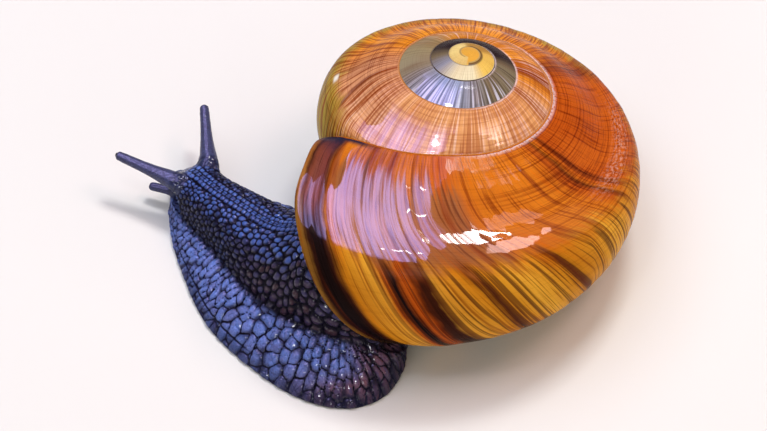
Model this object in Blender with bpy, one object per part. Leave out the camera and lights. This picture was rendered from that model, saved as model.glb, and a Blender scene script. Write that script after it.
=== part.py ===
"""Large striped land snail, life size, as a still display model.

The animal faces -Y, its left side is +X and +Z is up. The sole lies on z = 0.
Lengths are in millimetres until a mesh is made, where MM turns them into metres.
"""
import math

import bmesh
import bpy
import numpy as np
from mathutils import Vector

NAME = "striped_snail"
MM = 0.001
GAP = 0.3                 # clear distance between neighbouring pieces
CENTRE = np.array((3.66, -0.63, 0.0))   # middle of the footprint in the layout

# Shell: a right-handed coil that grows from the nucleus (negative turns) to the lip (turn 0)
APEX = (-3.60, 8.51, 23.31)       # top of the coiling axis
LEAN_RIGHT = math.radians(13.9)   # the axis leans to the animal's right
LEAN_BACK = math.radians(6.0)     # and a little backwards
LIP_BEARING = math.radians(17.4)  # bearing of the lip's upper end, from straight ahead
TURNS = 4.2
SUTURE_R = 10.89                  # suture radius at the lip
GROWTH = 0.0794                   # growth of the radius per radian
GROWTH_EASE = -0.00088            # slower growth towards the nucleus
SPIRE_DROP = 0.562                # drop of the suture along the axis, per radius
SPIRE_POWER = 1.1
SPIRE_BLUNT = 1.0                 # rounding radius of the spire's tip
WHORL_BULGE = 0.045
PERIPHERY = (1.083, 0.730)        # whorl section from its suture, in suture radii
LOWER_SIDE = (1.054, 1.524)
BASE = (0.270, 2.111)
COLUMELLA = (-0.501, 1.599)
NAVEL_DEPTH = 13.0                # axis distance of the navel's inner end from the apex
KNOTS = np.array([0.0, 0.13, 0.26, 0.50, 0.67, 0.84, 1.0])
JOIN = 0.26                       # place on a whorl where the next one sits
LIP_DROP = 0.298                  # how far the last suture slides down the whorl
LIP_DROP_START = math.radians(-74.7)
LIP_SLANT = (math.radians(-26.3), math.radians(-57.3))
SLANT_START = math.radians(-150.0)
LIP_THICK = 0.6
APERTURE_DEPTH = math.radians(-16.0)
MANTLE_INSET = 0.1                # how far the mantle stays inside the shell's outline
STEPS_PER_TURN = 45
TOP_ROWS = 5
LOW_ROWS = 8
WALL_ROWS = 4

# Body stations from the snout to the tail tip, seen from above, then half widths and heights
BODY_X = (-3.55, -2.55, -1.00, 1.70, 4.90, 8.50, 11.90, 14.60, 16.00, 16.40, 16.50)
BODY_Y = (-20.70, -19.75, -18.60, -16.60, -13.70, -10.20, -6.20, -3.00, 0.00, 1.60, 2.45)
SOLE_HALF = (1.00, 2.60, 3.70, 5.60, 7.70, 9.40, 10.0, 9.70, 8.20, 5.40, 2.20)
GROOVE_HALF = (1.00, 1.90, 2.60, 3.20, 3.90, 4.90, 5.40, 4.40, 3.30, 2.40, 1.00)
GROOVE_HEIGHT = (1.00, 1.50, 2.00, 2.70, 3.40, 4.00, 4.50, 4.70, 4.20, 3.20, 1.80)
BACK_HEIGHT = (3.60, 4.90, 5.90, 7.00, 8.20, 10.20, 14.50, 12.00, 7.50, 5.00, 3.00)
HEAD_CUT = 2.2            # station where the head meets the neck
FOOT_CUTS = (3.2, 6.4)    # stations where the foot is divided
NECK_END = 8.0
SNOUT_REACH = 0.5         # roundness of the front ends of head and foot
FRINGE = 0.5              # height of the foot's thin rounded margin

# Feelers: where they leave the head (ahead, sideways, up) from station 2, their aim and size
EYE_STALK_ROOT = (0.85, 1.85, 4.75)
EYE_STALK_SPREAD = math.radians(30.5)
EYE_STALK_RISE = math.radians(7.0)
EYE_STALK_LENGTH = 6.6
EYE_STALK_RADII = (1.05, 0.74, 0.56, 0.47, 0.43, 0.42, 0.44)
LOWER_FEELER_ROOT = (1.75, 1.50, 2.05)
LOWER_FEELER_SPREAD = math.radians(38.0)
LOWER_FEELER_RISE = math.radians(-6.0)
LOWER_FEELER_LENGTH = 2.7
LOWER_FEELER_RADII = (0.55, 0.42, 0.36, 0.34)
EYE_RADIUS = 0.43


def clear_scene():
    for obj in list(bpy.data.objects):
        bpy.data.objects.remove(obj, do_unlink=True)
    for group in list(bpy.data.collections):
        bpy.data.collections.remove(group)


def make_collection(name):
    group = bpy.data.collections.new(name)
    bpy.context.scene.collection.children.link(group)
    return group


def make_material(name, colour, roughness, metallic=0.0):
    mat = bpy.data.materials.new(name)
    mat.use_nodes = True
    shader = mat.node_tree.nodes["Principled BSDF"]
    shader.inputs["Base Color"].default_value = (*colour, 1.0)
    shader.inputs["Roughness"].default_value = roughness
    shader.inputs["Metallic"].default_value = metallic
    return mat


def spline_bends(knots):
    """Matrix that turns values at the knots into a natural cubic spline's second slopes."""
    count = len(knots)
    step = np.diff(knots)
    left = np.zeros((count, count))
    right = np.zeros((count, count))
    left[0, 0] = left[-1, -1] = 1.0
    for i in range(1, count - 1):
        left[i, i - 1:i + 2] = (step[i - 1], 2 * (step[i - 1] + step[i]), step[i])
        right[i, i - 1:i + 2] = (6 / step[i - 1], -6 / step[i - 1] - 6 / step[i], 6 / step[i])
    return np.linalg.solve(left, right)


SECTION_BENDS = spline_bends(KNOTS)


def spline(values, knots, bends, at):
    """Natural cubic spline: values run along the last axis, one row for each place in at."""
    curve = values @ bends.T
    i = np.clip(np.searchsorted(knots, at, side="right") - 1, 0, len(knots) - 2)
    h = (knots[1:] - knots[:-1])[i]
    t = at - knots[i]

    def pick(table, index):
        return np.take_along_axis(table, index[..., None], -1)[..., 0]

    y0, y1 = pick(values, i), pick(values, i + 1)
    m0, m1 = pick(curve, i), pick(curve, i + 1)
    slope = (y1 - y0) / h - h * (2 * m0 + m1) / 6
    return y0 + slope * t + m0 * t * t / 2 + (m1 - m0) * t ** 3 / (6 * h)


def suture(turn):
    """Radius of the suture and its distance down the axis, at a growth angle in radians."""
    radius = SUTURE_R * np.exp(GROWTH * turn + GROWTH_EASE * turn ** 2)
    drop = SPIRE_DROP * SUTURE_R * (np.hypot(radius, SPIRE_BLUNT) / SUTURE_R) ** SPIRE_POWER
    return radius, drop


def join_place(turn):
    """Place on the whorl below where the whorl at this growth angle begins."""
    ease = np.clip((turn - LIP_DROP_START) / -LIP_DROP_START, 0.0, 1.0)
    return JOIN + LIP_DROP * ease ** 2


def plain_section(turn, place):
    radius, drop = suture(turn)
    radius_out, drop_out = suture(turn + 2 * math.pi)
    run = (radius_out - radius) / radius
    fall = (drop_out - drop) / radius
    chord = np.hypot(run, fall)
    one = np.ones_like(radius)
    points = (PERIPHERY, LOWER_SIDE, BASE, COLUMELLA)
    across = [0 * one, run / 2 + WHORL_BULGE * fall / chord, run] + [p[0] * one for p in points]
    down = [0 * one, fall / 2 - WHORL_BULGE * run / chord, fall] + [p[1] * one for p in points]
    out = spline(np.stack(across, -1), KNOTS, SECTION_BENDS, place)
    low = spline(np.stack(down, -1), KNOTS, SECTION_BENDS, place)
    return radius + radius * out, drop + radius * low


def section(turn, place):
    """Whorl section, with its upper edge moved to where the last suture slides down."""
    out, low = plain_section(turn, place)
    seat_out, seat_low = plain_section(turn - 2 * math.pi, join_place(turn))
    edge_out, edge_low = plain_section(turn, 0 * place)
    fade = np.clip(1 - place / 0.5, 0, 1) ** 2 * (turn > LIP_DROP_START)
    return out + (seat_out - edge_out) * fade, low + (seat_low - edge_low) * fade


def shell_axes():
    axis = np.array((-math.sin(LEAN_RIGHT), math.sin(LEAN_BACK) * math.cos(LEAN_RIGHT),
                     math.cos(LEAN_BACK) * math.cos(LEAN_RIGHT)))
    ahead = np.array((0.0, -1.0, 0.0))
    ahead = ahead - axis * (ahead @ axis)
    ahead /= np.linalg.norm(ahead)
    return axis, ahead, np.cross(axis, ahead)


AXIS, AHEAD, ACROSS = shell_axes()


def shell_point(turn, out, low):
    bearing = LIP_BEARING - np.asarray(turn)
    spoke = np.cos(bearing)[..., None] * AHEAD + np.sin(bearing)[..., None] * ACROSS
    return np.array(APEX) + out[..., None] * spoke - low[..., None] * AXIS


def shell_surface(angle, place):
    """Point of the shell; growth lines slant back towards the base near the lip."""
    ease = np.clip((angle - SLANT_START) / -SLANT_START, 0, 1)
    ease = ease * ease * (3 - 2 * ease)
    turn = angle + ease * (LIP_SLANT[0] * place + LIP_SLANT[1] * place ** 2)
    return shell_point(turn, *section(turn, place))


def lip_curve(angle, inset):
    """Section of the aperture at a growth angle, moved inwards from the outer surface."""
    rows = TOP_ROWS + LOW_ROWS
    count = np.arange(rows + 1)
    place = last_turn_places()
    ends = np.clip(count / 3.0, 0, 1) * np.clip((rows - 2 - count) / 3.0, 0, 1)
    turn = angle * ends
    here = shell_surface(turn, place)
    along = shell_surface(turn, np.clip(place + 0.004, 0, 1))
    back = shell_surface(turn - 0.01, place)
    normal = np.cross(here - back, along - here)
    normal /= np.maximum(np.linalg.norm(normal, axis=1, keepdims=True), 1e-9)
    inward = normal * np.sign(((APEX - 12 * AXIS - here) * normal).sum(1, keepdims=True))
    return here + inward * (inset * ends)[:, None]


def last_turn_places():
    split = float(join_place(np.array(0.0)))
    top = np.linspace(0.0, split, TOP_ROWS + 1)
    low = np.linspace(split, 1.0, LOW_ROWS + 1)[1:]
    return np.concatenate([top, low])


class Mesher:
    """Collects points and faces, and shares points that fall in the same place."""

    def __init__(self):
        self.points = []
        self.seen = {}
        self.faces = []

    def point(self, co):
        key = tuple(round(float(c), 4) for c in co)
        if key not in self.seen:
            self.seen[key] = len(self.points)
            self.points.append(tuple((np.asarray(co, float) - CENTRE) * MM))
        return self.seen[key]

    def face(self, *corners):
        loop = []
        for c in corners:
            if not loop or c != loop[-1]:
                loop.append(c)
        if len(loop) > 1 and loop[0] == loop[-1]:
            loop.pop()
        if len(set(loop)) >= 3:
            self.faces.append(loop)

    def strip(self, first, second):
        """Quads between two rows of the same length."""
        for a, b, c, d in zip(first, first[1:], second[1:], second):
            self.face(a, b, c)
            self.face(a, c, d)

    def zip_rows(self, first, second):
        """Triangles between two rows of unlike length that share both ends."""
        i = j = 0
        while i < len(first) - 1 or j < len(second) - 1:
            ahead_i = (i + 1) / (len(first) - 1)
            ahead_j = (j + 1) / (len(second) - 1)
            if j == len(second) - 1 or (i < len(first) - 1 and ahead_i <= ahead_j):
                self.face(first[i], first[i + 1], second[j])
                i += 1
            else:
                self.face(first[i], second[j + 1], second[j])
                j += 1

    def fan(self, hub, rim):
        for a, b in zip(rim, rim[1:]):
            self.face(hub, a, b)

    def object(self, name, group, material, swell=0.0):
        bm = bmesh.new()
        verts = [bm.verts.new(p) for p in self.points]
        for loop in self.faces:
            bm.faces.new([verts[i] for i in loop])
        loose = [v for v in bm.verts if not v.link_faces]
        bmesh.ops.delete(bm, geom=loose, context="VERTS")
        bmesh.ops.recalc_face_normals(bm, faces=bm.faces)
        if bm.calc_volume(signed=True) < 0:
            bmesh.ops.reverse_faces(bm, faces=bm.faces)
        if swell:
            bm.normal_update()
            moved = [(v, v.co + v.normal * swell * MM) for v in bm.verts]
            for v, co in moved:
                v.co = co
        mesh = bpy.data.meshes.new(name)
        bm.to_mesh(mesh)
        bm.free()
        mesh.shade_smooth()
        mesh.set_sharp_from_angle(angle=math.radians(40))
        obj = bpy.data.objects.new(name, mesh)
        group.objects.link(obj)
        if material:
            mesh.materials.append(material)
        return obj


def build_shell(name, group, material, depth, swell=0.0):
    """Whole coil as one closed body; the aperture is closed at the given depth."""
    mesher = Mesher()
    step = 2 * math.pi / STEPS_PER_TURN
    count = round(TURNS * STEPS_PER_TURN)
    angles = [step * (i - count) for i in range(count + 1)]
    columns = []
    for angle in angles:
        if angle < -2 * math.pi - 1e-6:
            last = float(join_place(np.array(angle + 2 * math.pi)))
            places = np.linspace(0.0, last, TOP_ROWS + 1)
        else:
            places = last_turn_places()
        rows = shell_surface(np.full(len(places), angle), places)
        columns.append([mesher.point(co) for co in rows])
    for first, second in zip(columns, columns[1:]):
        both = min(len(first), len(second))
        mesher.strip(first[:both], second[:both])
    # nucleus: the free inner edge of the first turn, closed by a low dome
    rim = [column[0] for column in columns[:STEPS_PER_TURN + 1]]
    rim += list(reversed(columns[0][:-1]))
    top = mesher.point(np.array(APEX) - AXIS * (suture(np.array(angles[0]))[1] - 0.25))
    mesher.fan(top, rim)
    # navel: the inner edge of the last turn runs up to the axis
    navel = mesher.point(np.array(APEX) - AXIS * NAVEL_DEPTH)
    first_low = count - STEPS_PER_TURN
    mesher.fan(navel, [column[-1] for column in columns[first_low:]])
    # lip, the inside of the last whorl and the wall that closes the aperture
    outer = columns[-1]
    if depth:
        inner = [mesher.point(co) for co in lip_curve(0.0, LIP_THICK)]
        deep = [mesher.point(co) for co in lip_curve(depth, LIP_THICK)]
        mesher.strip(outer, inner)
        mesher.strip(inner, deep)
    else:
        deep = outer
    wall = columns[first_low][TOP_ROWS:]
    wall_points = np.array([mesher.points[i] for i in wall]) / MM + CENTRE
    deep_points = np.array([mesher.points[i] for i in deep]) / MM + CENTRE
    spread = np.linspace(0, len(wall) - 1, len(deep))
    far = np.stack([np.interp(spread, range(len(wall)), wall_points[:, k]) for k in range(3)], 1)
    rows = [deep]
    for i in range(1, WALL_ROWS):
        share = i / WALL_ROWS
        rows.append([mesher.point(co) for co in deep_points * (1 - share) + far * share])
        mesher.strip(rows[-2], rows[-1])
    mesher.zip_rows(rows[-1], wall)
    mesher.fan(navel, [row[-1] for row in rows] + [wall[-1]])
    return mesher.object(name, group, material, swell)


STATION_KNOTS = np.arange(len(BODY_X), dtype=float)
STATION_BENDS = spline_bends(STATION_KNOTS)


def at_station(values, place):
    return float(spline(np.array([values], float), STATION_KNOTS, STATION_BENDS,
                        np.array([float(place)]))[0])


def body_frame(place):
    """Centre on the ground and the animal's left-hand direction at a station."""
    step = 0.02
    a, b = max(place - step, 0.0), min(place + step, len(BODY_X) - 1.0)
    along = Vector((at_station(BODY_X, b) - at_station(BODY_X, a),
                    at_station(BODY_Y, b) - at_station(BODY_Y, a)))
    along.normalize()
    centre = Vector((at_station(BODY_X, place), at_station(BODY_Y, place)))
    return centre, Vector((along.y, -along.x)), along


def front_of_body(reach, height):
    centre, _, along = body_frame(0.0)
    return (centre.x - along.x * reach, centre.y - along.y * reach, height)


def ring_on_body(place, outline):
    centre, left, _ = body_frame(place)
    return [(centre.x + left.x * u, centre.y + left.y * u, z) for u, z in outline]


def foot_outline(place):
    sole = at_station(SOLE_HALF, place)
    groove = at_station(GROOVE_HALF, place)
    top = at_station(GROOVE_HEIGHT, place) - GAP / 2
    side = [(sole - 0.15, 0.0), (sole, 0.2), (sole - 0.05, FRINGE),
            (sole * 0.72 + groove * 0.28, top * 0.42 + 0.25),
            (sole * 0.40 + groove * 0.60, top * 0.74 + 0.18), (groove + 0.2, top - 0.1),
            (groove * 0.8, top)]
    mirror = [(-u, z) for u, z in reversed(side)]
    return side + [(0.0, top)] + mirror + [(-sole / 2, 0.0), (0.0, 0.0), (sole / 2, 0.0)]


def back_outline(place):
    half = at_station(GROOVE_HALF, place)
    low = at_station(GROOVE_HEIGHT, place) + GAP / 2
    high = at_station(BACK_HEIGHT, place)
    arc = [math.radians(a) for a in range(0, 181, 15)]
    ring = []
    for a in arc:
        c, s = math.cos(a), math.sin(a)
        ring.append((half * math.copysign(abs(c) ** 0.85, c), low + (high - low) * s ** 0.85))
    return ring + [(-half * 0.7, low - 0.0), (0.0, low), (half * 0.7, low)]


def head_outline(place):
    """The head is rounder than the neck and lifts off the foot towards the snout."""
    half = at_station(GROOVE_HALF, place) * 1.04
    lift = max(0.0, 1.0 - place / HEAD_CUT)
    low = at_station(GROOVE_HEIGHT, place) + GAP / 2 + 0.75 * lift
    high = at_station(BACK_HEIGHT, place)
    mid = low + (high - low) * 0.42
    ring = []
    for a in range(0, 360, 20):
        c, s = math.cos(math.radians(a)), math.sin(math.radians(a))
        reach = (high - mid) if s > 0 else (mid - low)
        ring.append((half * math.copysign(abs(c) ** 0.9, c), mid + reach * s))
    return ring


def loft(name, group, material, rings, hub_first=None, hub_last=None):
    """Closed body through equal rings, each end closed by a fan."""
    mesher = Mesher()
    rows = [[mesher.point(co) for co in ring] for ring in rings]
    for row in rows:
        row.append(row[0])
    for first, second in zip(rows, rows[1:]):
        mesher.strip(first, second)
    for row, ring, hub in ((rows[0], rings[0], hub_first), (rows[-1], rings[-1], hub_last)):
        if hub is None:
            hub = np.mean(np.array(ring), axis=0)
        mesher.fan(mesher.point(hub), row)
    return mesher.object(name, group, material)


def along_body(start, end, count, outline):
    """Rings from one station to another, ends drawn back by half the gap."""
    rings = []
    for i in range(count + 1):
        place = start + (end - start) * i / count
        ring = ring_on_body(place, outline(place))
        _, _, along = body_frame(place)
        pull = 0.0
        if i == 0 and start > 0:
            pull = GAP / 2
        elif i == count and end < len(BODY_X) - 1:
            pull = -GAP / 2
        rings.append([(x + along.x * pull, y + along.y * pull, z) for x, y, z in ring])
    return rings


def feeler(name, group, material, root, spread, rise, length, radii, side, stop_short):
    """Tapered round feeler; returns the object and the centre of its tip."""
    centre, left, along = body_frame(2.0)
    ahead = -along
    base = Vector((centre.x + ahead.x * root[0] + left.x * root[1] * side,
                   centre.y + ahead.y * root[0] + left.y * root[1] * side, root[2]))
    aim = ahead * math.cos(spread) + left * math.sin(spread) * side
    aim = Vector((aim.x * math.cos(rise), aim.y * math.cos(rise), math.sin(rise)))
    u = aim.cross(Vector((0, 0, 1))).normalized()
    v = u.cross(aim)
    tip = base + aim * length
    rings = []
    last = length - stop_short
    for i, radius in enumerate(radii):
        share = (i / (len(radii) - 1)) ** 1.25
        spot = base + aim * (last * share)
        ring = []
        for k in range(14):
            a = 2 * math.pi * k / 14
            ring.append(tuple(spot + u * (radius * math.cos(a)) + v * (radius * math.sin(a))))
        rings.append(ring)
    hub = tuple(base + aim * (last + (0.25 if stop_short == 0.0 else 0.0)))
    return loft(name, group, material, rings, hub_last=hub), tip


def ball(name, group, material, centre, radius):
    bm = bmesh.new()
    bmesh.ops.create_uvsphere(bm, u_segments=16, v_segments=10, radius=radius * MM)
    mesh = bpy.data.meshes.new(name)
    bm.to_mesh(mesh)
    bm.free()
    mesh.shade_smooth()
    mesh.materials.append(material)
    obj = bpy.data.objects.new(name, mesh)
    obj.location = (Vector(centre) - Vector(CENTRE)) * MM
    group.objects.link(obj)
    return obj


def cut(obj, cutter):
    mod = obj.modifiers.new("clear_" + cutter.name, "BOOLEAN")
    mod.operation = "DIFFERENCE"
    mod.solver = "EXACT"
    mod.object = cutter


def swollen_copy(obj, group, name, swell):
    """Cutter a little larger than the object, so that what it cuts stays clear of it."""
    bm = bmesh.new()
    bm.from_mesh(obj.data)
    bm.normal_update()
    moved = [(v, v.co + v.normal * swell * MM) for v in bm.verts]
    for v, co in moved:
        v.co = co
    mesh = bpy.data.meshes.new(name)
    bm.to_mesh(mesh)
    bm.free()
    copy = bpy.data.objects.new(name, mesh)
    group.objects.link(copy)
    return copy


def floor_box(group):
    bm = bmesh.new()
    bmesh.ops.create_cube(bm, size=0.1)
    mesh = bpy.data.meshes.new("floor_cutter")
    bm.to_mesh(mesh)
    bm.free()
    box = bpy.data.objects.new("floor_cutter", mesh)
    box.location = (0.0, 0.0, -0.05)
    group.objects.link(box)
    return box


def build():
    clear_scene()
    parts = make_collection(NAME)
    guides = make_collection(NAME + "_cutters")
    shell_mat = make_material("shell_horn", (0.62, 0.24, 0.04), 0.25)
    skin_mat = make_material("skin", (0.035, 0.04, 0.11), 0.45)
    mantle_mat = make_material("mantle", (0.03, 0.025, 0.05), 0.4)
    eye_mat = make_material("eye", (0.01, 0.01, 0.012), 0.15)

    shell = build_shell("shell", parts, shell_mat, APERTURE_DEPTH)
    cut(shell, floor_box(guides))
    clearance = build_shell("shell_clearance", guides, None, APERTURE_DEPTH, GAP)
    hull = build_shell("hull_clearance", guides, None, 0.0, GAP)
    mantle = build_shell("mantle", parts, mantle_mat, 0.0, -MANTLE_INSET)
    cut(mantle, clearance)

    last = len(BODY_X) - 1
    toe = front_of_body(SNOUT_REACH, 0.45)
    snout = front_of_body(SNOUT_REACH, 2.9)
    loft("foot_front", parts, skin_mat, along_body(0, FOOT_CUTS[0], 10, foot_outline), toe)
    foot_middle = loft("foot_middle", parts, skin_mat,
                       along_body(FOOT_CUTS[0], FOOT_CUTS[1], 9, foot_outline))
    tail = loft("tail", parts, skin_mat, along_body(FOOT_CUTS[1], last, 12, foot_outline))
    head = loft("head", parts, skin_mat, along_body(0, HEAD_CUT, 8, head_outline), snout)
    neck = loft("neck", parts, skin_mat, along_body(HEAD_CUT, NECK_END, 18, back_outline))
    for piece in (foot_middle, tail, neck):
        cut(piece, hull)

    head_clearance = swollen_copy(head, guides, "head_clearance", 0.12)
    for side, word in ((1, "left"), (-1, "right")):
        stalk, tip = feeler("eye_stalk_" + word, parts, skin_mat, EYE_STALK_ROOT,
                            EYE_STALK_SPREAD, EYE_STALK_RISE, EYE_STALK_LENGTH,
                            EYE_STALK_RADII, side, EYE_RADIUS + 0.06)
        cut(stalk, head_clearance)
        ball("eye_" + word, parts, eye_mat, tip, EYE_RADIUS)
        lower, _ = feeler("lower_feeler_" + word, parts, skin_mat, LOWER_FEELER_ROOT,
                          LOWER_FEELER_SPREAD, LOWER_FEELER_RISE, LOWER_FEELER_LENGTH,
                          LOWER_FEELER_RADII, side, 0.0)
        cut(lower, head_clearance)

    for obj in guides.objects:
        obj.hide_render = True
        obj.display_type = "WIRE"


build()
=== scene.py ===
"""Looks of a large striped land snail: a glossy coiled shell, one pebbled skin and two eyes.

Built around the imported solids. The animal faces -Y, its left side is +X and +Z is up.
Shapes are worked out in millimetres in the layout whose middle is CENTRE, and MM turns
them into metres in the frame of the solids.
"""
import math

import bmesh
import bpy
import numpy as np
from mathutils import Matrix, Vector
from mathutils.bvhtree import BVHTree


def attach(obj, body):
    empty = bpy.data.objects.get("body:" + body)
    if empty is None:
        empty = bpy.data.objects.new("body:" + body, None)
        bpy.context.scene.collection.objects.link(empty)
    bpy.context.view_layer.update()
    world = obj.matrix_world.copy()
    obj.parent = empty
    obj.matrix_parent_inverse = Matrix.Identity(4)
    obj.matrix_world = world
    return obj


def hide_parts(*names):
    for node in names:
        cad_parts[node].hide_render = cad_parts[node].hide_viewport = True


MM = 0.001
CENTRE = np.array((3.66, -0.63, 0.0))   # middle of the footprint in the layout
TAU = 2 * math.pi

# ---- shell form, as in the solids
APEX = np.array((-3.60, 8.51, 23.31))
LEAN_RIGHT = math.radians(13.9)
LEAN_BACK = math.radians(6.0)
LIP_BEARING = math.radians(17.4)
TURNS = 4.2
SUTURE_R = 10.89
GROWTH = 0.0794
GROWTH_EASE = -0.00088
SPIRE_DROP = 0.562
SPIRE_POWER = 1.1
SPIRE_BLUNT = 1.0
WHORL_BULGE = 0.045
PERIPHERY = (1.083, 0.730)
LOWER_SIDE = (1.054, 1.524)
BASE = (0.270, 2.111)
COLUMELLA = (-0.501, 1.599)
NAVEL_DEPTH = 13.0
KNOTS = np.array([0.0, 0.13, 0.26, 0.50, 0.67, 0.84, 1.0])
JOIN = 0.26
LIP_DROP = 0.298
LIP_DROP_START = math.radians(-74.7)
LIP_SLANT = (math.radians(-26.3), math.radians(-57.3))
SLANT_START = math.radians(-150.0)

# ---- shell mesh and relief
STEPS_PER_TURN = 420
SPIRE_ROWS = 18                # rows across the small upper turns
TOP_ROWS = 52                  # rows from the suture down, on the last two turns
LOW_ROWS = 50                  # rows from there to the navel
NUCLEUS_RINGS = 5
NUCLEUS_DOME = 0.16
LIP_THICK = 0.42
RIM_ROWS = 6
INSIDE_DEG = 22.0              # how far the inner surface is seen behind the lip
INSIDE_STEPS = 16
SUTURE_CUT = (0.10, 0.22)      # depth and width of the groove along the suture
AROUND = 38.0                  # way round the newest whorl, from the suture to the navel

# Growth lines lean back from the suture to the periphery: growth angle, lean at half place
LEAN_AT = (-400.0, -352.0, -320.0, -285.0, -250.0, -215.0, -170.0, -112.0, -60.0, -35.0, 0.0)
LEAN_BY = (-6.0, -22.0, -8.0, 8.0, 0.0, -14.0, -24.0, -28.0, -12.0, 0.0, 1.5)

# ---- body, as in the solids
BODY_X = (-3.55, -2.55, -1.00, 1.70, 4.90, 8.50, 11.90, 14.60, 16.00, 16.40, 16.50)
BODY_Y = (-20.70, -19.75, -18.60, -16.60, -13.70, -10.20, -6.20, -3.00, 0.00, 1.60, 2.45)
SOLE_HALF = (1.00, 2.60, 3.70, 5.60, 7.70, 9.40, 10.0, 9.70, 8.20, 5.40, 2.20)
GROOVE_HALF = (1.00, 1.90, 2.60, 3.20, 3.90, 4.90, 5.40, 4.40, 3.30, 2.40, 1.00)
GROOVE_HEIGHT = (1.00, 1.50, 2.00, 2.70, 3.40, 4.00, 4.50, 4.70, 4.20, 3.20, 1.80)
BACK_HEIGHT = (3.60, 4.90, 5.90, 7.00, 8.20, 10.20, 14.50, 12.00, 7.50, 5.00, 3.00)
HEAD_END = 2.2
HEAD_LIFT = 0.75
BROW_DROP = 1.15               # the head slopes down in front of the eye stalks
SNOUT_NARROW = (0.80, 0.78, 1.05, 1.02)   # and is narrower there, station by station
NECK_END = 8.2
NECK_SUNK = 0.25               # the neck rises from a crease this far below the foot's edge
SNOUT_REACH = 0.5
SNOUT_LEVEL = 2.1              # heights at which the snout and the toe reach furthest
TOE_LEVEL = 0.45
FRINGE = 0.5
EYE_STALK_ROOT = (0.85, 1.85, 4.75)
EYE_STALK_SPREAD = math.radians(30.5)
EYE_STALK_RISE = math.radians(7.0)
EYE_STALK_LENGTH = 6.6
LOWER_FEELER_ROOT = (1.75, 1.50, 2.05)
LOWER_FEELER_SPREAD = math.radians(38.0)
LOWER_FEELER_RISE = math.radians(-6.0)
LOWER_FEELER_LENGTH = 2.7
# radii of the skin's own forms, which shrink a little as they are smoothed
EYE_STALK_SKIN = (1.26, 1.02, 0.82, 0.68, 0.59, 0.54, 0.50)
LOWER_FEELER_SKIN = (0.80, 0.60, 0.50, 0.46)
EYE_RADIUS = 0.43
VOXEL = 0.145
SKIN_FACES = 190000

# ---- skin relief, in millimetres
MARGIN_STOPS = 420             # points down each side of the sole's edge
# by the way from the tail's tip: width of a rank of slabs, and slabs from the edge inwards
RANK_WIDTH = ((0, 4, 10, 20, 26, 32, 36), (0.62, 0.72, 1.05, 1.35, 1.30, 0.95, 0.65))
SLABS_INWARD = ((0, 22, 28, 36), (4.2, 4.2, 3.8, 3.2))
SLAB_CUT, FINE_CUT, RANK_CUT, STRIP_CUT, SLAB_DOME = 0.14, 0.09, 0.15, 0.09, 0.38
# by the way from the toe: width of a rank of beads, beads from back to crease, and their size
BEAD_WIDTH = ((0, 3, 7, 12, 18, 24), (0.40, 0.46, 0.55, 0.70, 0.88, 0.95))
BEADS_ROUND = ((0, 3, 8, 16), (8.0, 9.5, 10.5, 10.5))
BEAD_SIZE = ((0, 4, 12, 20), (0.55, 0.75, 1.0, 1.25))
BEAD_CUT, FURROW_CUT, BEAD_DOME = 0.12, 0.08, 0.34

# ---- camera, as the animal is seen
VIEW_AZIMUTH = math.radians(90.0)
VIEW_ELEVATION = math.radians(54.0)
VIEW_TARGET = np.array((0.0, 0.0, 0.0))   # layout point in the middle of the view
VIEW_WIDTH = 76.7                         # millimetres across the view at the animal
VIEW_DEPTH = 8.0                          # height above the target where that width holds
LENS = 500.0
SENSOR = 36.0
EXPOSURE = -0.35

# ---- stage, in metres
WHITE = (1.0, 0.98, 1.0)
WARM = (1.0, 0.95, 0.84)
LIGHT_AIM = np.array((0.0, 0.0, 0.010))
# name, way to it, its size, radiance, colour, distance, and whether it gives soft light, gloss
# or both
LIGHTS = (
    ("sky_box", (-0.16, -0.27, 0.93), (0.37, 0.28), 3.5, (0.78, 0.80, 1.0), 0.40, "soft"),
    ("sky_sheen", (-0.10, -0.36, 0.93), (0.66, 0.36), 9.0, (0.50, 0.43, 1.0), 0.40, "gloss"),
    ("window", (-0.32, 0.20, 0.93), (0.100, 0.062), 50.0, WHITE, 0.40, "both"),
    ("small_window", (0.17, -0.14, 0.97), (0.042, 0.012), 45.0, WHITE, 0.36, "both"),
    ("skin_glint", (0.86, -0.10, 0.50), (0.090, 0.060), 60.0, (0.95, 0.97, 1.0), 0.40, "gloss"),
    ("rear_box", (-0.07, 0.47, 0.88), (0.15, 0.12), 11.0, (1.0, 0.70, 0.66), 0.40, "both"),
    ("front_fill", (0.85, -0.45, 0.32), (0.40, 0.26), 3.6, WARM, 0.55, "soft"),
    ("tail_fill", (0.55, 0.80, 0.36), (0.30, 0.24), 2.6, WARM, 0.55, "soft"))
WORLD_COLOUR = (1.0, 0.98, 0.94)
WORLD_STRENGTH = 0.26
FLOOR_SIZE = 3.0
FLOOR_STEPS = 24
FLOOR_GAP = 0.00002            # the floor lies this far under the sole


# ==== numbers
def hash01(i, j=0.0, seed=0.0):
    """Repeatable random number from 0 to 1 for each lattice point."""
    n = np.sin(i * 127.1 + j * 311.7 + seed * 74.7) * 43758.5453
    return n - np.floor(n)


def ease(t):
    t = np.clip(t, 0.0, 1.0)
    return t * t * (3 - 2 * t)


def unit(v):
    return v / np.maximum(np.linalg.norm(v, axis=-1, keepdims=True), 1e-9)


def running_sum(steps):
    return np.concatenate([[0.0], np.cumsum(steps)])


def ripple(x, seed):
    """Smooth one-way noise from 0 to 1."""
    i = np.floor(x)
    t = ease(x - i)
    return hash01(i, 0.0, seed) * (1 - t) + hash01(i + 1, 0.0, seed) * t


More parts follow.
